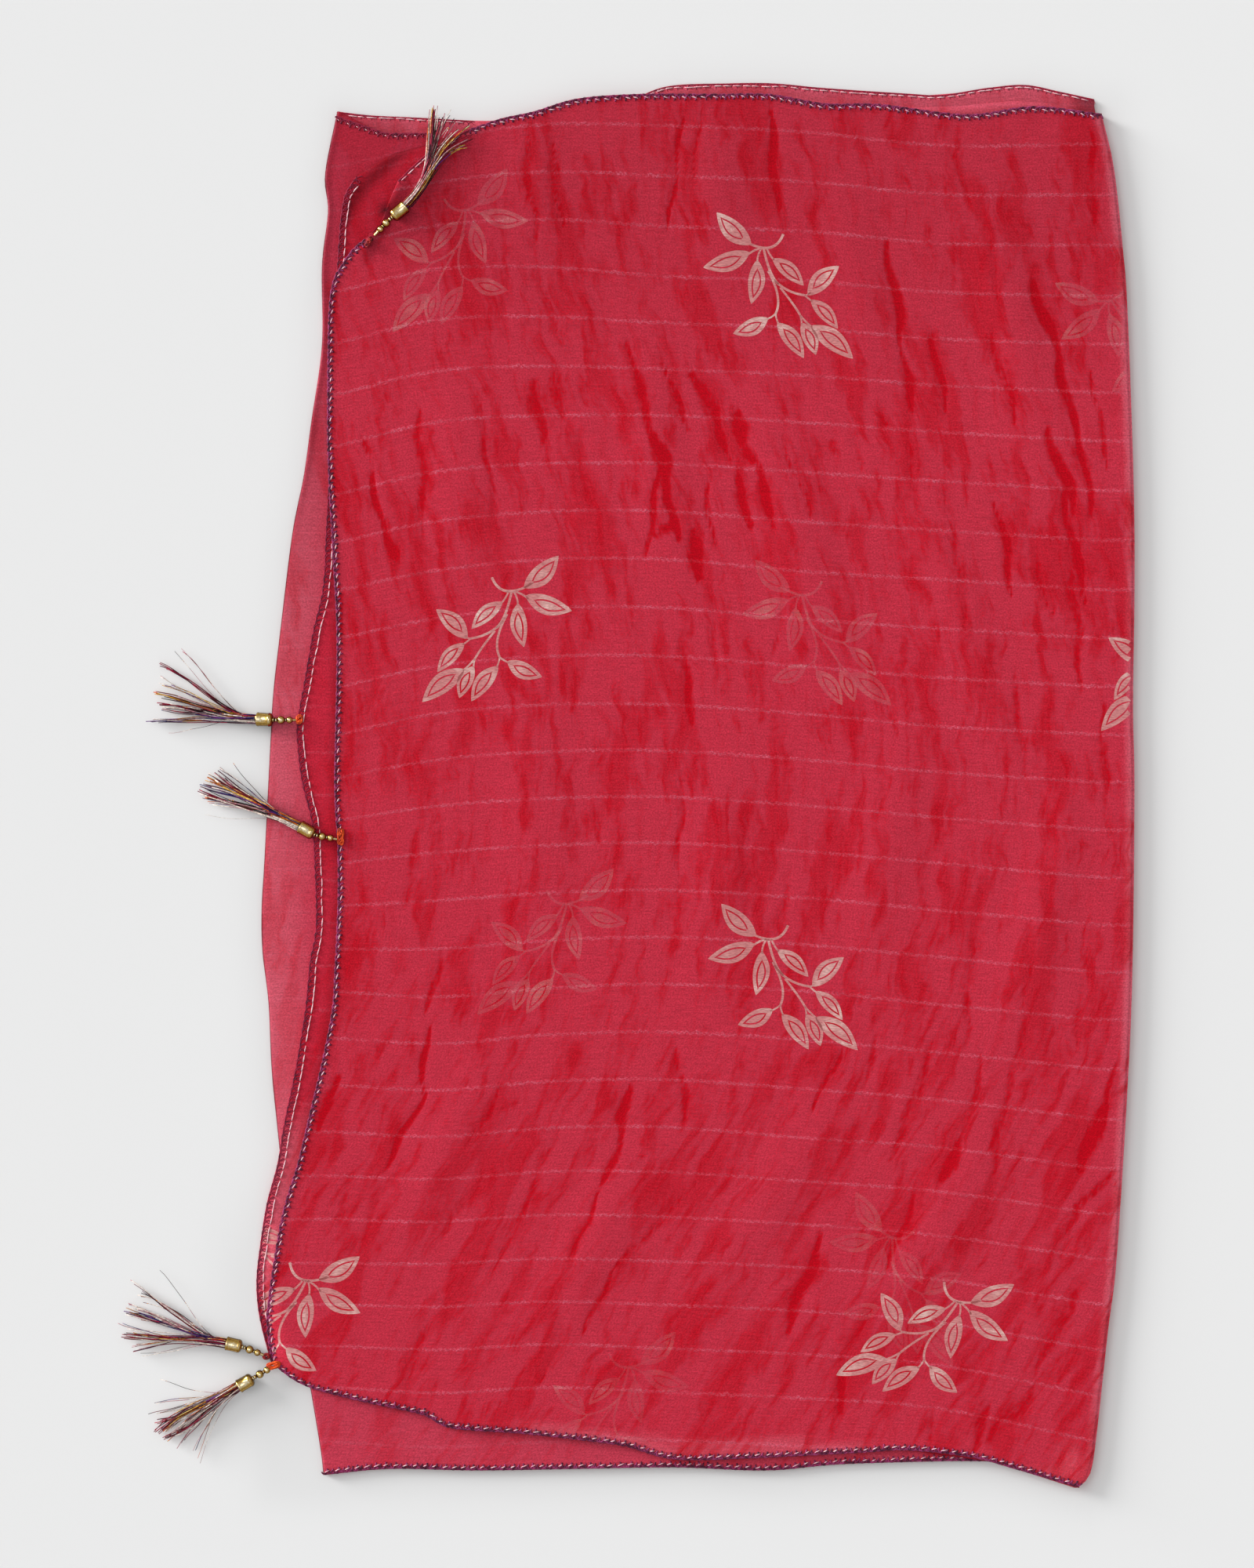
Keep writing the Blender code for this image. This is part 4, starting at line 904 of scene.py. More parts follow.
def side_distance(line, x, y):
    """Signed distance from a smooth line: positive to the right of its direction."""
    curve = smooth_curve(line, 4)
    best = np.full(x.shape, np.inf)
    sign = np.zeros(x.shape)
    for start, end in zip(curve[:-1], curve[1:]):
        step = end - start
        part = np.clip(((x - start[0]) * step[0] + (y - start[1]) * step[1]) / (step @ step), 0.0, 1.0)
        away = np.hypot(x - start[0] - part * step[0], y - start[1] - part * step[1])
        right = (x - start[0]) * step[1] - (y - start[1]) * step[0]
        nearer = away < best
        best = np.where(nearer, away, best)
        sign = np.where(nearer, np.sign(right), sign)
    return best * sign


def bell_pocket(x, y):
    """Shade in the hollow beside the bell at the curled corner: a bell curve round its middle."""
    return 1.3 * bell_curve((x + 159.0) / 4.0, (y - 376.5) / 4.0)


def grid_up(points):
    """Even steps from the lower edge to the upper one."""
    return np.linspace(0.0, 1.0, points)


def grid_across(shown):
    """Steps across a lower cloth: close together in the share that shows, wide apart in the rest."""
    near = np.linspace(0.0, shown, LOWER_GRID["shown"])
    return np.concatenate([near, np.linspace(near[-1], 1.0, LOWER_GRID["hidden"])[1:]])


class SCARF_OT_top_cloth(bpy.types.Operator):
    """Makes the top layer with its soft folds, rolled corner and outer fold"""

    bl_idname = "scarf.top_cloth"
    bl_label = "Top cloth"

    def execute(self, context):
        tangent = tuple((x - FOLD_INSET, y) for x, y in RIGHT_FOLD)
        places = panel_places(TOP_LEFT_HEM, tangent, TOP_LOWER_HEM[:-1] + tangent[:1],
                              TOP_UPPER_HEM[:-1] + tangent[-1:],
                              grid_up(TOP_GRID["across"]), grid_up(TOP_GRID["up"]))
        x, y = places[:, :, 0], places[:, :, 1]
        z = top_height(x, y)
        z[:, -1] = FOLD_TOP_Z + 0.5 * WALL
        radius = FOLD_RADIUS + 0.5 * WALL
        turn = np.linspace(0.0, math.pi, TOP_GRID["fold"])[1:]
        bend_x = x[:, -1:] + radius * np.sin(turn)[None, :]
        bend_y = np.repeat(y[:, -1:], len(turn), axis=1)
        bend_z = radius * (1 + np.cos(turn))[None, :] + np.zeros_like(bend_x)
        x = np.hstack([x, bend_x])
        y = np.hstack([y, bend_y])
        z = np.hstack([z, bend_z])
        past_second = edge_y(SECOND_LOWER_EDGE, x) - y
        past_fold = x - edge_x(RIGHT_FOLD, y)
        single = 0.9 * ramp(past_second, -1.5, 1.5) * ramp(x, -82, -57)
        # Paler rim along the outer fold: painted light that lifts the fold's shaded side
        painted_light_fold_rim = ramp(past_fold, -8, -2)
        # A whitish patch at the lower right corner: a painted sheen
        painted_sheen_corner = bell_curve((x - 291) / 8, (y + 447) / 12)
        thin = np.maximum.reduce([0.55 * single, painted_light_fold_rim, painted_sheen_corner])
        material = woven_cloth_material("Crimson woven cloth, top layer",
                                        context.scene.scarf_colours.cloth, 1.0, 1.0)
        cling = cling_field(x, y) * ramp(x, 332, 312)
        # Painted shade: darker towards the top, in the hollow by the bell and over the curled corner's roll;
        # below zero it paints light on the outer side of the fold and on the sheen at the lower right corner
        shade = 0.22 * ramp(y, 215, 405) - 1.2 * ramp(past_fold, -1.2, -0.4) + bell_pocket(x, y)
        shade = shade + 0.55 * corner_roll_height(x, y) / CORNER_ROLL["height"] - 0.25 * painted_sheen_corner
        item = cloth_sheet("top_cloth", x, y, z, {"cling": cling, "thin": thin, "shade": shade},
                           material, 0.0)
        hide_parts("top_panel")
        return {"FINISHED"}


class SCARF_OT_second_cloth(bpy.types.Operator):
    """Makes the second layer, which shows along the left hem"""

    bl_idname = "scarf.second_cloth"
    bl_label = "Second cloth"

    def execute(self, context):
        width = SECOND_RIGHT_EDGE[-1][0] - SECOND_UPPER_EDGE[0][0]
        places = panel_places(SECOND_LEFT_HEM, SECOND_RIGHT_EDGE, SECOND_LOWER_EDGE, SECOND_UPPER_EDGE,
                              grid_across(70.0 / width), grid_up(LOWER_GRID["up"]))
        x, y = places[:, :, 0], places[:, :, 1]
        fold = np.column_stack(photo_place(*np.array(CORNER_FOLD, dtype=float).T))
        inside = -side_distance(fold, x, y)
        near_corner = ramp(y, 335, 347) * ramp(x, -95, -110)
        cling = 0.4 * ramp(inside, -1, 3) * near_corner
        single = ramp(y, -200, -250) * ramp(y, -345, -325)
        # Painted shadow beside the top layer's left hem, weaker where only one layer lies
        contact = 0.5 * ramp(edge_x(TOP_SIDE_HEM, y) - x, 7, 0) * ramp(y, 330, 310) * (1.0 - 0.6 * single)
        # Painted shade: a dark band beside the corner's soft fold, and a lighter one over the rest of the
        # corner
        painted_crease_shade = 1.15 * bell_curve((inside + 4.5) / 6.5)
        shade = np.maximum(contact, np.maximum(painted_crease_shade, 0.36) * near_corner)
        # Painted shade along the upper edge near the corner, so that its rim does not catch the lamp
        shade[-1] = 1.3 * ramp(x[-1], -95, -110)
        shade = shade + bell_pocket(x, y)
        z = second_height(x, y)
        material = woven_cloth_material("Crimson woven cloth, second layer", linear("#BC2439"), 0.7, 0.40)
        item = cloth_sheet("second_cloth", x, y, z, {"cling": cling, "thin": 0.85 * single, "shade": shade},
                           material, 0.4)
        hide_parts("second_panel")
        return {"FINISHED"}


class SCARF_OT_under_cloth(bpy.types.Operator):
    """Makes the two lowest layers as one cloth that turns at the centre fold"""

    bl_idname = "scarf.under_cloth"
    bl_label = "Under cloth"

    def execute(self, context):
        inset = FOLD_INSET + 0.9
        right = tuple((x - inset, y) for x, y in RIGHT_FOLD)
        radius = 0.5 * UNDER_HEIGHT
        left = tuple((x + radius, y) for x, y in CENTRE_FOLD)
        across = grid_across(0.12)
        up = grid_up(LOWER_GRID["up"])
        lower = UNDER_LOWER_HEM[:-1] + right[:1]
        upper_places = panel_places(left, right, (left[0],) + lower[1:],
                                    (left[-1],) + THIRD_UPPER_HEM[1:-1] + right[-1:], across, up)
        corner = (right[-1][0] - 1.0, LOWEST_UPPER_HEM[-1][1])
        lower_places = panel_places(left, right + (corner,), (left[0],) + lower[1:],
                                    (left[-1],) + LOWEST_UPPER_HEM[1:-1] + (corner,), across, up)
        turn = np.linspace(0.0, math.pi, LOWER_GRID["fold"])[1:-1]
        share = (turn / math.pi)[None, :]
        bend_x = (upper_places[:, :1, 0] * (1 - share) + lower_places[:, :1, 0] * share
                  - radius * np.sin(turn)[None, :])
        bend_y = upper_places[:, :1, 1] * (1 - share) + lower_places[:, :1, 1] * share
        bend_z = radius * (1 + np.cos(turn))[None, :] + np.zeros_like(bend_x)
        x = np.hstack([lower_places[:, ::-1, 0], bend_x[:, ::-1], upper_places[:, :, 0]])
        y = np.hstack([lower_places[:, ::-1, 1], bend_y[:, ::-1], upper_places[:, :, 1]])
        low_size = lower_places.shape[:2]
        high_size = upper_places.shape[:2]
        low = ramp(lower_places[:, :, 1], 425, 433) * (0.5 * UNDER_HEIGHT - 0.1)
        z = np.hstack([low[:, ::-1], bend_z[:, ::-1], np.full(high_size, UNDER_HEIGHT)])

        # What shows of the upper face, by its distance from the centre fold and by the layers on it
        facing = np.hstack([np.zeros(low_size), np.zeros(bend_x.shape), np.ones(high_size)])
        past_fold = x - edge_x(CENTRE_FOLD, y)
        folded = np.hstack([np.full(low_size, 0.75), np.full(bend_x.shape, 0.7), np.zeros(high_size)])
        margin = 0.95 * ramp(past_fold, 46, 0) * ramp(y, -330, -240) * ramp(y, 330, 90)
        corner_panel = 0.15 * ramp(y, -330, -370)
        third_strip = 0.6 * ramp(x, 90, 120) * ramp(y, 432, 438)
        thin = np.maximum.reduce([folded, margin, corner_panel, third_strip])
        # Painted shade on the rounded side of the centre fold, which faces the lamp; the same shade value
        # also darkens the back of the upper left corner, the margin towards the top and along the fold's edge
        # there, and the strips by the upper hems
        back_corner = 0.42 * facing * ramp(y, 330, 350) * ramp(x, -100, -120)
        upper_margin = 0.36 * ramp(y, -120, 300) * ramp(past_fold, 60, 40)
        upper_edge = 0.8 * ramp(past_fold, 8, 3) * ramp(y, 110, 230)
        painted_shade_rounded_edge = 1.6 * ramp(past_fold, 1.5, 0)
        strips = 0.26 * ramp(y, 432, 436) * ramp(x, 0, 20)
        shade = np.maximum.reduce([back_corner, upper_margin, upper_edge, painted_shade_rounded_edge, strips])
        cling = 0.25 * facing * ramp(y, 330, 360) * ramp(past_fold, 4, 14) * ramp(x, 20, -20)
        material = woven_cloth_material("Crimson woven cloth, lowest layers", linear("#BC3248"), 0.55, 0.45)
        item = cloth_sheet("under_cloth", x, y, z, {"thin": thin, "shade": shade, "cling": cling},
                           material, 0.15)
        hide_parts("under_fold")
        return {"FINISHED"}


def edge_frame(edge, spacing, inward_turn):
    """Places along an edge at even spacing, its direction, and the direction inwards from it.

    inward_turn is +1 where the cloth lies to the left of the edge's direction and -1 to its right.
    """
    curve = smooth_curve(edge)
    length = travelled(curve)
    stations = np.arange(0.0, length[-1], spacing)
    x = np.interp(stations, length, curve[:, 0])
    y = np.interp(stations, length, curve[:, 1])
    ahead = np.column_stack([np.gradient(x), np.gradient(y)])
    ahead /= np.linalg.norm(ahead, axis=1, keepdims=True)
    inward = np.column_stack([-ahead[:, 1], ahead[:, 0]]) * inward_turn
    return np.column_stack([x, y]), ahead, inward


def slow_noise(random, count, every, size):
    """A slowly wandering value along a seam: random values every few stations, joined by lines."""
    marks = np.arange(0, count + every, every)
    return np.interp(np.arange(count), marks, random.normal(0.0, size, len(marks)))


def sew(name, edge, height, turn, style, seed, materials):
    """One hem's sewing: the rolled edge, pale straight stitches and dark loops over the edge.

    Straight stitches are short humped tubes at the needle's inset. Two tubes swing as sines between the
    edge and the needle line, against each other, and a third runs along the edge.
    """
    random = np.random.default_rng(seed)
    seam = dict(zip(SEAM_COLUMNS, SEAMS[style]))
    spacing = NEEDLE_PITCH / STEPS_PER_STITCH
    places, ahead, inward = edge_frame(edge, spacing, turn)
    count = len(places)
    wander = slow_noise(random, count, *LINE_WANDER)

    def lifted(points, raise_by):
        """Points on the cloth, raised from it."""
        return np.column_stack([points, height(points[:, 0], points[:, 1]) + raise_by])

    cord = lifted(places + inward * 0.3, 0.02)[None, ::3]
    cord_radii = np.full(cord.shape[:2], seam["cord_radius"])
    add_tubes(f"{name}_rolled_edge", cord, cord_radii, STITCH_SIDES, materials["edge"])

    starts = np.arange(FIRST_STITCH, count - STEPS_PER_STITCH, STEPS_PER_STITCH)
    long = seam["needle_length"] / spacing * (1 + 0.12 * random.normal(size=(len(starts), 1)))
    offset = starts[:, None] + np.linspace(0.0, 1.0, STITCH_POINTS) * long
    offset = offset + random.normal(0, 1.2, (len(starts), 1))
    base = places + inward * (seam["needle_inset"] + wander)[:, None]
    lean = seam["needle_slant"] * np.linspace(-0.5, 0.5, STITCH_POINTS) * np.ones_like(offset)
    stations = np.arange(count)
    stitch_x, stitch_y = (np.interp(offset, stations, base[:, axis])
                          + lean * np.interp(offset, stations, inward[:, axis]) for axis in (0, 1))
    hump = np.sin(np.linspace(0.0, math.pi, STITCH_POINTS))[None, :]
    stitch_z = height(stitch_x, stitch_y) + THREAD_RAISE + STITCH_HUMP * hump
    radii = seam["needle_radius"] * (0.5 + 0.5 * hump) * np.ones_like(stitch_x)
    stitches = np.stack([stitch_x, stitch_y, stitch_z], axis=2)
    add_tubes(f"{name}_needle_stitches", stitches, radii, STITCH_SIDES, materials["needle"])

    reach = seam["loop_reach"] + wander
    phase = stations / STEPS_PER_STITCH * 2 * math.pi + slow_noise(random, count, *LOOP_WANDER)
    swing = 0.5 - 0.5 * np.cos(phase)
    slant = ahead * (seam["loop_lean"] * np.sin(phase))[:, None]
    loops = lifted(places + inward * (0.4 + reach * swing)[:, None] + slant, THREAD_RAISE)
    crossing = 0.5 * reach + 0.45 * reach * np.cos(phase + 0.5)
    braid = lifted(places + inward * crossing[:, None] - slant, THREAD_RAISE)
    outer = lifted(places + inward * (0.45 + 0.35 * np.sin(phase))[:, None], THREAD_RAISE - 0.1)
    paths = np.stack([loops, braid, outer])
    thickness = np.stack([np.full(count, seam["loop_radius"]), np.full(count, 0.85 * seam["loop_radius"]),
                          seam["outer_radius"] * (1.0 + 0.4 * np.sin(phase + 1.0))])
    looper = materials["face" if style == "face" else "back"]
    add_tubes(f"{name}_edge_loops", paths, thickness, LOOP_SIDES, looper)


def lowest_height(x, y):
    """Height of the upper face of the lowest layer where it reaches past the one on it."""
    return np.full_like(np.asarray(x, dtype=float), 0.5 * UNDER_HEIGHT)


class SCARF_OT_hems(bpy.types.Operator):
    """Sews the overlocked hems of the three cloths"""

    bl_idname = "scarf.hems"
    bl_label = "Hems"

    def execute(self, context):
        colours = context.scene.scarf_colours
        materials = {
            "edge": thread_material("Rolled cloth edge", linear("#A81F38"), linear("#7C1A3A"), 500.0),
            "needle": thread_material("Polyester needle thread", colours.needle, linear("#DA9AA6"), 300.0),
            "face": thread_material("Polyester looper thread", colours.loops, linear("#9A3466"), 330.0),
            "back": thread_material("Polyester looper thread, back", linear("#961C3C"), linear("#5E1430"),
                                    260.0),
        }
        hems = (
            ("top_left_hem", TOP_SIDE_HEM, top_height, -1, "face"),
            ("top_corner_hem", TOP_CORNER_HEM, top_height, -1, "edge"),
            ("top_upper_hem", TOP_LONG_HEM, top_height, -1, "face"),
            ("top_lower_hem", TOP_LOWER_HEM, top_height, 1, "face"),
            ("second_left_hem", SECOND_LEFT_HEM, second_height, -1, "back"),
            ("under_lower_hem", UNDER_LOWER_HEM[:-1], under_height, 1, "face"),
            ("lowest_left_hem", LOWEST_UPPER_HEM[:4], lowest_height, -1, "edge"),
            ("lowest_upper_hem", LOWEST_UPPER_HEM[5:], lowest_height, -1, "edge"),
            ("third_left_hem", THIRD_UPPER_HEM[:4], under_height, -1, "plain"),
        )
        for seed, (name, edge, height, turn, style) in enumerate(hems, start=11):
            sew(name, edge, height, turn, style, seed, materials)
        return {"FINISHED"}


def leaf_half_width(part, width):
    """Half width of a leaf along its length: zero at both ends, fullest a little before the middle."""
    return 0.5 * width * np.sin(math.pi * part ** 0.9) ** 0.85


def sprig_mesh(name, sprigs, height):
    """Ribbons for the stems, an outline band and a filled heart for each leaf, laid on the cloth."""
    places = []
    faces = []

    def add(grid_x, grid_y):
        """Adds a grid of places and its faces."""
        start = sum(len(part) for part in places)
        places.append(np.column_stack([grid_x.ravel(), grid_y.ravel()]))
        faces.extend(grid_faces(*grid_x.shape, offset=start).tolist())

    for px, py, turn, mirrored in sprigs:
        middle_x, middle_y = photo_place(px, py)
        angle = math.radians(turn)
        flip = -1.0 if mirrored else 1.0

        def on_cloth(x, y):
            """A place of the drawing, mirrored, turned and moved to where it is printed."""
            mirrored_x = x * flip
            return (middle_x + mirrored_x * math.cos(angle) - y * math.sin(angle),
                    middle_y + mirrored_x * math.sin(angle) + y * math.cos(angle))

        for start, bend, end, width in STEMS:
            part = np.linspace(0.0, 1.0, STEM_POINTS)[:, None]
            path = ((1 - part) ** 2 * np.array(start) + 2 * part * (1 - part) * np.array(bend)
                    + part ** 2 * np.array(end))
            ahead = np.gradient(path, axis=0)
            ahead /= np.linalg.norm(ahead, axis=1, keepdims=True)
            side = np.column_stack([-ahead[:, 1], ahead[:, 0]]) * 0.5 * width
            x = np.column_stack([path[:, 0] - side[:, 0], path[:, 0] + side[:, 0]])
            y = np.column_stack([path[:, 1] - side[:, 1], path[:, 1] + side[:, 1]])
            add(*on_cloth(x, y))
        part = np.linspace(0.0, 1.0, LEAF_POINTS)
        rib_part = np.clip((part - LEAF_RIB["start"]) / (LEAF_RIB["end"] - LEAF_RIB["start"]), 0.0, 1.0)
        for row in LEAVES:
            leaf = dict(zip(LEAF_COLUMNS, row))
            aim = math.radians(leaf["aim"])
            outer = leaf_half_width(part, leaf["width"])
            inner = leaf_half_width(rib_part, leaf["width"] * LEAF_RIB["share"])
            heart = np.maximum(inner - LEAF_RIB["line"], 0.0)
            along = leaf["length"] * part
            curl = LEAF_CURL * leaf["length"] * np.sin(math.pi * part)
            strips = [(outer, inner), (-inner, -outer), (heart, -heart)]
            for left_edge, right_edge in strips:
                across = np.column_stack([left_edge + curl, right_edge + curl])
                x = leaf["x"] + along[:, None] * math.cos(aim) - across * math.sin(aim)
                y = leaf["y"] + along[:, None] * math.sin(aim) + across * math.cos(aim)
                add(*on_cloth(x, y))
    flat = np.vstack(places)
    z = height(flat[:, 0], flat[:, 1]) + PRINT_RAISE
    return flat, z, np.array(faces)


def print_sprigs(name, sprigs, height, keep, material):
    """Joins the sprigs' faces that lie on the cloth into one printed skin."""
    flat, z, faces = sprig_mesh(name, sprigs, height)
    inside = keep(flat[:, 0], flat[:, 1])
    faces = faces[inside[faces].all(axis=1)]
    mesh = mesh_from(name, np.column_stack([flat, z]), faces.tolist())
    shape = bmesh.new()
    shape.from_mesh(mesh)
    bmesh.ops.delete(shape, geom=[v for v in shape.verts if not v.link_faces], context="VERTS")
    for face in shape.faces:
        if face.normal.z < 0:
            face.normal_flip()
    shape.to_mesh(mesh)
    shape.free()
    kept = np.empty(len(mesh.vertices) * 3)
    mesh.vertices.foreach_get("co", kept)
    x, y = kept[0::3] / MM, kept[1::3] / MM
    corner_map(mesh, "lines", x * MM, -woven_line_number(x, y))
    item = add_object(name, mesh, material)
    item.visible_shadow = False
    return item


def on_top_cloth(x, y):
    """True inside the top layer's left, right and lower edges."""
    return ((x > edge_x(TOP_SIDE_HEM, y) + 1.0) & (x < edge_x(RIGHT_FOLD, y) - 1.5)
            & (y > edge_y(TOP_LOWER_HEM, x) + 2.0))


def on_second_strip(x, y):
    """True on the strip of the second layer that shows beside the top one."""
    return (x > edge_x(SECOND_LEFT_HEM, y) + 1.0) & (x < edge_x(TOP_SIDE_HEM, y) + 4.0)


class SCARF_OT_prints(bpy.types.Operator):
    """Prints the leaf sprigs, and the faint ones that show through from the layers below"""

    bl_idname = "scarf.prints"
    bl_label = "Printed sprigs"

    def execute(self, context):
        colours = context.scene.scarf_colours
        ink = ink_material("Pale pigment print", colours.print_ink, 0.95)
        faint = ink_material("Print showing through the cloth", colours.print_below, 0.19)
        fainter = ink_material("Print showing through two cloths", colours.print_below, 0.12)
        print_sprigs("sprigs_on_top", SPRIGS_ON_TOP, top_height, on_top_cloth, ink)
        print_sprigs("sprigs_on_second", SPRIGS_ON_SECOND, second_height, on_second_strip, ink)
        print_sprigs("sprigs_showing_through", SPRIGS_BELOW, top_height, on_top_cloth, faint)
        print_sprigs("sprigs_deep_below", SPRIGS_DEEP_BELOW, top_height, on_top_cloth, fainter)
        return {"FINISHED"}


def lathe(name, profile, place, axis, material):
    """A profile of (radius, height) rows turned about an axis from a place; all in millimetres."""
    profile = np.array(profile, dtype=float)
    axis = np.array(axis, dtype=float) / np.linalg.norm(axis)
    side = np.cross((0.0, 0.0, 1.0), axis)
    side /= np.linalg.norm(side)
    rise = np.cross(axis, side)
    turn = np.linspace(0.0, 2 * math.pi, LATHE_STEPS, endpoint=False)
    ring = np.cos(turn)[:, None] * side + np.sin(turn)[:, None] * rise
    rows = (np.array(place)[None, None, :] + profile[:, 1][:, None, None] * axis
            + profile[:, 0][:, None, None] * ring[None])
    index = np.arange(rows.shape[0] * LATHE_STEPS).reshape(rows.shape[0], LATHE_STEPS)
    turned = np.roll(index, -1, axis=1)
    quads = np.stack([index[:-1], index[1:], turned[1:], turned[:-1]], axis=2).reshape(-1, 4)
    mesh = mesh_from(name, rows, quads.tolist())
    shape = bmesh.new()
    shape.from_mesh(mesh)
    bmesh.ops.remove_doubles(shape, verts=shape.verts, dist=0.000001)
    bmesh.ops.recalc_face_normals(shape, faces=shape.faces)
    shape.to_mesh(mesh)
    shape.free()
    mesh.shade_smooth()
    mesh.set_sharp_from_angle(angle=math.radians(50))
    return add_object(name, mesh, material)


def yarn_paths(tassel, tips, number):
    """Paths, radii and dyes of a tassel's threads.

    Each thread is a cubic curve: it leaves the bell's mouth along the bell's axis, runs out past the
    mouth, then turns to its clump's tip, near which it ends with its own small offset and bow.
    """
    random = np.random.default_rng(100 + number)
    top, mouth, end = (np.array(tassel[key], dtype=float) for key in ("bell_top", "bell_mouth", "end"))
    axis = (mouth - top) / np.linalg.norm(mouth - top)
    side = np.cross((0.0, 0.0, 1.0), axis)
    side /= np.linalg.norm(side)
    rise = np.cross(axis, side)
    paths = []
    radii = []
    dyes = []
    part = np.linspace(0.0, 1.0, YARN_POINTS)[:, None]
    total = sum(row[2] for row in tips)
    index = 0
    for row in tips:
        clump = dict(zip(TIP_COLUMNS, row))
        tip_x, tip_y = photo_place(clump["x"], clump["y"])
        tip = np.array([float(tip_x), float(tip_y), end[2]])
        reach = np.linalg.norm(tip - mouth)
        bow = random.normal(0.0, 0.025, 2) * reach
        lie = random.normal(0.0, 0.05 * reach)
        scatter = tassel["scatter"] if clump["count"] > FEW_THREADS else 0.7
        for _ in range(clump["count"]):
            ring = (BELL_RADIUS - BELL_WALL - 0.7) * math.sqrt((index + 0.5) / total)
            around = index * GOLDEN_ANGLE
            offset = side * ring * math.cos(around) + rise * ring * math.sin(around)
            own = random.normal(0.0, 1.0, 3)
            start = mouth - axis * 1.8 + offset
            ahead = mouth + axis * 0.30 * reach + offset * 1.1
            length = 1.0 - 0.06 * abs(own[2])
            last = mouth + (tip - mouth) * length + np.array([own[0] * scatter, own[1] * scatter, 0.0])
            last[2] = max(end[2] + 1.4 * math.sin(around) * (ring / BELL_RADIUS), clump["radius"] + 0.1)
            own_turn = mouth + (last - mouth) * 0.66 + side * (lie + own[0] * 0.6 * scatter)
            own_turn = own_turn + np.array([bow[0], bow[1], 0.0])
            shared_turn = mouth + (end - mouth) * 0.62 + axis * 5.0 + offset * 0.9
            turn = own_turn + (shared_turn - own_turn) * tassel["gathered"]
            turn[2] = 0.45 * mouth[2] + 0.55 * last[2] + 0.8 * offset[2]
            rest = 1 - part
            path = (rest ** 3 * start + 3 * rest ** 2 * part * ahead + 3 * rest * part ** 2 * turn
                    + part ** 3 * last)
            crinkle = np.sin(part * (9 + 8 * random.random()) + 6.3 * random.random()) * part * 0.45
            path = path + side * crinkle
            path[:, 2] = np.maximum(path[:, 2], clump["radius"] + 0.05)
            paths.append(path)
            taper = 1.0 - 0.2 * part[:, 0] ** 3
            radii.append(clump["radius"] * (0.85 + 0.4 * random.random()) * taper)
            shift = 0.10 * np.sin(part[:, 0] * (4 + 6 * random.random()) + 6.3 * random.random())
            shift = shift + random.normal(0.0, 0.045)
            if index % PALE_EVERY == 1:
                dyes.append(np.clip(PALE_DYE + 0.5 * shift, 0.0, 0.999))
            else:
                dyes.append((clump["dye"] + shift) % 1.0)
            index += 1
    return np.stack(paths), np.stack(radii), np.stack(dyes)


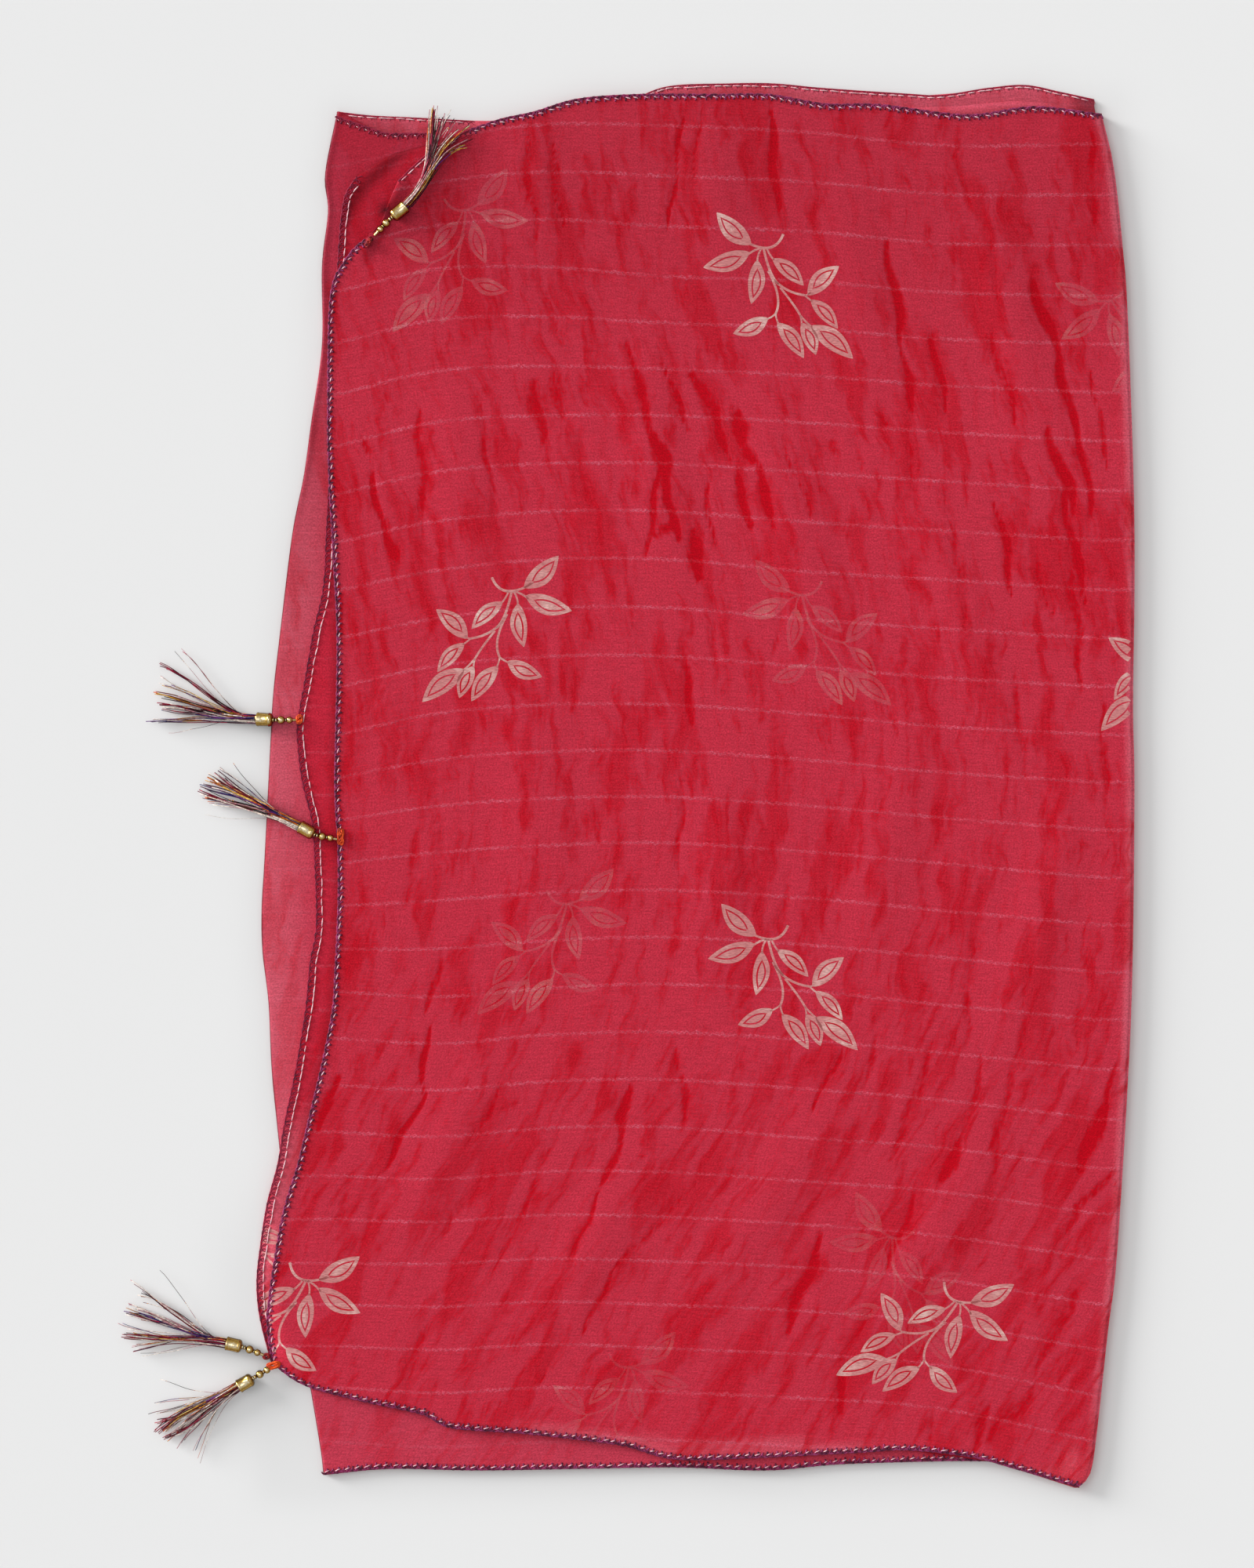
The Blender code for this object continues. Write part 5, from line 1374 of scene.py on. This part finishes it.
class SCARF_OT_tassels(bpy.types.Operator):
    """Makes the tassels: bell, beads, knot and loose yarn"""

    bl_idname = "scarf.tassels"
    bl_label = "Tassels"

    def execute(self, context):
        colours = context.scene.scarf_colours
        brass = brass_material("Polished brass")
        yarn = yarn_material()
        orange = thread_material("Orange knot thread", colours.knot, linear("#A8321A"), 420.0)
        # A darker copy of the orange knot thread, painted shade for the half hidden knots
        shaded = thread_material("Knot thread in painted shade", linear("#A02422"), linear("#5A1224"), 420.0)
        for number, row in enumerate(TASSELS, start=1):
            tassel = dict(zip(TASSEL_COLUMNS, row))
            self.bell(number, tassel, brass)
            self.beads(number, tassel, brass)
            self.knot(number, tassel, shaded if number in SHADED_KNOTS else orange)
            self.yarn(number, tassel, TASSEL_TIPS[number - 1], yarn)
        return {"FINISHED"}

    def bell(self, number, tassel, brass):
        """Stamped bell: a domed end with a collar, a slight waist and a rolled mouth."""
        top = np.array(tassel["bell_top"], dtype=float)
        mouth = np.array(tassel["bell_mouth"], dtype=float)
        length = float(np.linalg.norm(mouth - top))
        inner = BELL_RADIUS - BELL_WALL
        radius = BELL_RADIUS
        profile = [(0.0, length), (BELL_NECK * 0.8, length), (BELL_NECK, length - 0.2),
                   (BELL_NECK, length - 0.7)]
        dome = np.linspace(0.0, 0.5 * math.pi, 8)[1:]
        dome_width = radius * 0.96 - BELL_NECK
        profile += [(BELL_NECK + dome_width * math.sin(a), length - 0.8 - 2.2 * (1 - math.cos(a)))
                    for a in dome]
        profile += [(radius, length - 3.3), (radius * 0.95, length - 3.8), (radius * 0.955, length * 0.35),
                    (radius * 0.96, 1.3), (radius, 0.9), (radius, 0.3), (radius * 0.97, 0.0), (inner, 0.0),
                    (inner, length - 3.4), (0.0, length - 3.4)]
        item = lathe(f"tassel_{number}_bell", profile, mouth, top - mouth, brass)
        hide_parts(f"tassel_{number}_cap")

    def beads(self, number, tassel, brass):
        """Two turned beads with small collars beside them, on the tassel's thread."""
        knot = np.array(tassel["knot"], dtype=float)
        top = np.array(tassel["bell_top"], dtype=float)
        line = knot - top
        distance = float(np.linalg.norm(line))
        length = distance - 0.8 * KNOT_SIZE[0]
        upper, lower = BEAD_RADII
        first = 1.5 + lower
        second = first + lower + upper + 0.5
        angles = np.linspace(0.86 * math.pi, 0.14 * math.pi, 13)
        profile = [(0.0, 0.0), (0.9, 0.0), (1.5, 0.3), (1.5, 0.9), (0.9, 1.2)]
        profile += [(lower * math.sin(a), first + lower * math.cos(a)) for a in angles]
        between = 0.5 * (first + lower + second - upper)
        profile += [(0.9, between - 0.35), (1.35, between - 0.15), (1.35, between + 0.15),
                    (0.9, between + 0.35)]
        profile += [(upper * math.sin(a), second + upper * math.cos(a)) for a in angles]
        end = max(length, second + upper * 0.99)
        profile += [(0.8, end), (0.0, end)]
        item = lathe(f"tassel_{number}_brass_beads", profile, top + line / distance * 0.3, line, brass)
        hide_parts(f"tassel_{number}_beads")

    def knot(self, number, tassel, thread):
        """Loops of thread wound beside each other round the knot's middle."""
        shape = dict(zip(KNOT_COLUMNS, KNOTS[number - 1]))
        centre = np.array(tassel["knot"], dtype=float) + np.array([*shape["shift"], 0.0])
        turn = np.linspace(0.0, 2 * math.pi, 29)
        paths = []
        for loop in range(KNOT_LOOPS):
            share = loop / (KNOT_LOOPS - 1)
            tilt = math.radians(shape["turn"]) + 0.5 * (share - 0.5) * (-1) ** loop
            x = shape["length"] * (0.55 + 0.45 * share) * np.cos(turn)
            y = shape["width"] * (0.35 + 0.65 * share) * np.sin(turn)
            z = 0.5 * KNOT_SIZE[2] * np.sin(turn * 2 + 6.3 * share) + 0.4 * (1 - share)
            paths.append(np.column_stack([centre[0] + x * math.cos(tilt) - y * math.sin(tilt),
                                          centre[1] + x * math.sin(tilt) + y * math.cos(tilt),
                                          centre[2] + z]))
        paths = np.stack(paths)
        radii = np.full(paths.shape[:2], KNOT_THREAD_RADIUS)
        item = add_tubes(f"tassel_{number}_tied_knot", paths, radii, KNOT_SIDES, thread)
        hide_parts(f"tassel_{number}_knot")

    def yarn(self, number, tassel, tips, yarn):
        """The loose threads of the tassel as fine tubes, dyed along their length."""
        paths, radii, dye = yarn_paths(tassel, tips, number)
        places, faces = tubes(paths, radii, YARN_SIDES)
        mesh = mesh_from(f"tassel_{number}_yarn", places, faces)
        point_values(mesh, "dye", np.repeat(dye[:, :, None], YARN_SIDES, axis=2))
        item = add_object(f"tassel_{number}_yarn", mesh, yarn)
        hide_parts(f"tassel_{number}_strands")


def painted_table_shadow(x, y):
    """How much darker the table is painted near the cloth: painted shade where light from all round is cut
    off.

    It falls as a bell curve of the distance from the outline, which is moved a little away from the window.
    """
    beside_fold = FOLD_SHADE["strength"] * bell_curve((x - FOLD_SHADE["x"]) / FOLD_SHADE["half_width"],
                                                      (y - FOLD_SHADE["y"]) / FOLD_SHADE["half_length"])
    x = x - PAINTED_TABLE_SHADOW["shift"][0]
    y = y - PAINTED_TABLE_SHADOW["shift"][1]
    left = np.minimum(edge_x(CENTRE_FOLD, y), edge_x(SECOND_LEFT_HEM, y))
    lower = np.minimum(edge_y(UNDER_LOWER_HEM, x), edge_y(TOP_LOWER_HEM, x))
    upper = np.maximum(edge_y(LOWEST_UPPER_HEM, x), edge_y(TOP_UPPER_HEM, x))
    beside = np.maximum.reduce([left - x, x - edge_x(RIGHT_FOLD, y), np.zeros_like(x)])
    beyond = np.maximum.reduce([lower - y, y - upper, np.zeros_like(x)])
    return beside_fold + PAINTED_TABLE_SHADOW["strength"] * bell_curve(np.hypot(beside, beyond) / PAINTED_TABLE_SHADOW["reach"])


class SCARF_OT_stage(bpy.types.Operator):
    """Sets the pale table, the soft light and the camera straight above"""

    bl_idname = "scarf.stage"
    bl_label = "Stage"

    def execute(self, context):
        self.table(context)
        self.light(context)
        self.camera(context)
        context.scene.view_settings.view_transform = "Standard"
        return {"FINISHED"}

    def table(self, context):
        """A wide level square, with close points near the scarf for its painted soft shadow."""
        near = np.linspace(-TABLE["near"], TABLE["near"], TABLE["points"])
        steps = np.concatenate([[-TABLE["reach"]], near, [TABLE["reach"]]])
        x, y = np.meshgrid(steps, steps)
        places = np.stack([x, y, np.full_like(x, -TABLE["gap"])], axis=2)
        mesh = mesh_from("floor", places, grid_faces(*x.shape).tolist())
        point_values(mesh, "contact", painted_table_shadow(x, y))
        floor = bpy.data.objects.new("floor", mesh)
        context.scene.collection.objects.link(floor)
        material, tree = new_material("Matt white table")
        contact = put(tree, "ShaderNodeAttribute", attribute_name="contact").outputs["Fac"]
        # Painted shadow: the table's colour darkens towards black by the painted contact shadow value
        colour = blended(tree, contact, opaque(context.scene.scarf_colours.floor), opaque((0.0, 0.0, 0.0)))
        shader = put(tree, "ShaderNodeBsdfPrincipled", {"Base Color": colour, "Roughness": 0.9,
                                                        "Specular IOR Level": 0.1})
        put(tree, "ShaderNodeOutputMaterial", {"Surface": shader.outputs[0]})
        floor.data.materials.append(material)

    def light(self, context):
        """Even light from all round, brighter towards the window and overhead, and a soft lamp."""
        sizes = context.scene.scarf_sizes
        world = bpy.data.worlds.new("Even studio light")
        world.use_nodes = True
        tree = world.node_tree
        direction = put(tree, "ShaderNodeTexCoord").outputs["Generated"]
        towards_window = put(tree, "ShaderNodeVectorMath", {0: direction, 1: WINDOW},
                             operation="DOT_PRODUCT").outputs["Value"]
        glow = put(tree, "ShaderNodeMapRange", {"Value": towards_window, "From Min": -0.6, "From Max": 0.92,
                                                "To Min": 0.74, "To Max": 1.16}).outputs[0]
        height = put(tree, "ShaderNodeSeparateXYZ", {0: direction}).outputs["Z"]
        walls = put(tree, "ShaderNodeMapRange", {"Value": height, "From Min": 0.0, "From Max": 0.22,
                                                 "To Min": 0.45, "To Max": 1.0},
                    interpolation_type="SMOOTHSTEP").outputs[0]
        even = put(tree, "ShaderNodeMath", {0: glow, 1: walls}, operation="MULTIPLY").outputs[0]
        window = put(tree, "ShaderNodeMapRange", {"Value": towards_window, "From Min": 0.90, "From Max": 0.96,
                                                  "To Max": 4.0}, interpolation_type="SMOOTHSTEP").outputs[0]
        overhead = put(tree, "ShaderNodeMapRange", {"Value": height, "From Min": 0.95, "From Max": 0.98,
                                                    "To Max": 2.0},
                       interpolation_type="SMOOTHSTEP").outputs[0]
        lamps = put(tree, "ShaderNodeMath", {0: window, 1: overhead}, operation="ADD").outputs[0]
        light = put(tree, "ShaderNodeMath", {0: even, 1: lamps}, operation="ADD").outputs[0]
        background = tree.nodes["Background"]
        background.inputs["Strength"].default_value = sizes.fill_strength
        tree.links.new(light, background.inputs["Color"])
        context.scene.world = world
        lamp = bpy.data.lights.new("Soft window light", "SUN")
        lamp.energy = sizes.key_strength
        lamp.angle = math.radians(LAMP_SPREAD)
        key = bpy.data.objects.new("Soft window light", lamp)
        key.rotation_euler = Vector(LAMP_DIRECTION).to_track_quat("-Z", "Y").to_euler()
        context.scene.collection.objects.link(key)

    def camera(self, context):
        """A camera straight above that sees the whole photo's frame."""
        sizes = context.scene.scarf_sizes
        camera_data = bpy.data.cameras.new("Camera above")
        camera_data.sensor_fit = "VERTICAL"
        camera_data.sensor_height = 36.0
        seen_height = PHOTO_HEIGHT * PIXEL * MM
        camera_data.lens = camera_data.sensor_height * sizes.camera_height / seen_height
        camera_data.clip_end = 20.0
        camera = bpy.data.objects.new("Camera above", camera_data)
        middle_x, middle_y = photo_place(0.5 * PHOTO_WIDTH, 0.5 * PHOTO_HEIGHT)
        camera.location = (float(middle_x) * MM, float(middle_y) * MM, sizes.camera_height)
        context.scene.collection.objects.link(camera)
        context.scene.camera = camera


class SCARF_PT_panel(bpy.types.Panel):
    """Lists the scarf's pieces, sizes and colours"""

    bl_idname = "SCARF_PT_panel"
    bl_label = "Folded scarf"
    bl_space_type = "VIEW_3D"
    bl_region_type = "UI"
    bl_category = "Scarf"

    def draw(self, context):
        for operator in OPERATORS:
            self.layout.operator(operator.bl_idname)
        for group in (context.scene.scarf_sizes, context.scene.scarf_colours):
            for name in group.bl_rna.properties.keys():
                if name not in ("rna_type", "name"):
                    self.layout.prop(group, name)


OPERATORS = (SCARF_OT_stage, SCARF_OT_under_cloth, SCARF_OT_second_cloth, SCARF_OT_top_cloth, SCARF_OT_hems,
             SCARF_OT_prints, SCARF_OT_tassels)
CLASSES = (ScarfColours, ScarfSizes) + OPERATORS + (SCARF_PT_panel,)


def register():
    """Registers the classes and the two groups of properties."""
    for cls in CLASSES:
        bpy.utils.register_class(cls)
    bpy.types.Scene.scarf_colours = bpy.props.PointerProperty(type=ScarfColours)
    bpy.types.Scene.scarf_sizes = bpy.props.PointerProperty(type=ScarfSizes)


def unregister():
    """Takes the properties and the classes away again."""
    del bpy.types.Scene.scarf_sizes
    del bpy.types.Scene.scarf_colours
    for cls in reversed(CLASSES):
        bpy.utils.unregister_class(cls)


def main():
    """Makes every piece in order."""
    register()
    bpy.ops.scarf.stage()
    bpy.ops.scarf.under_cloth()
    bpy.ops.scarf.second_cloth()
    bpy.ops.scarf.top_cloth()
    bpy.ops.scarf.hems()
    bpy.ops.scarf.prints()
    bpy.ops.scarf.tassels()


if __name__ == "__main__":
    main()
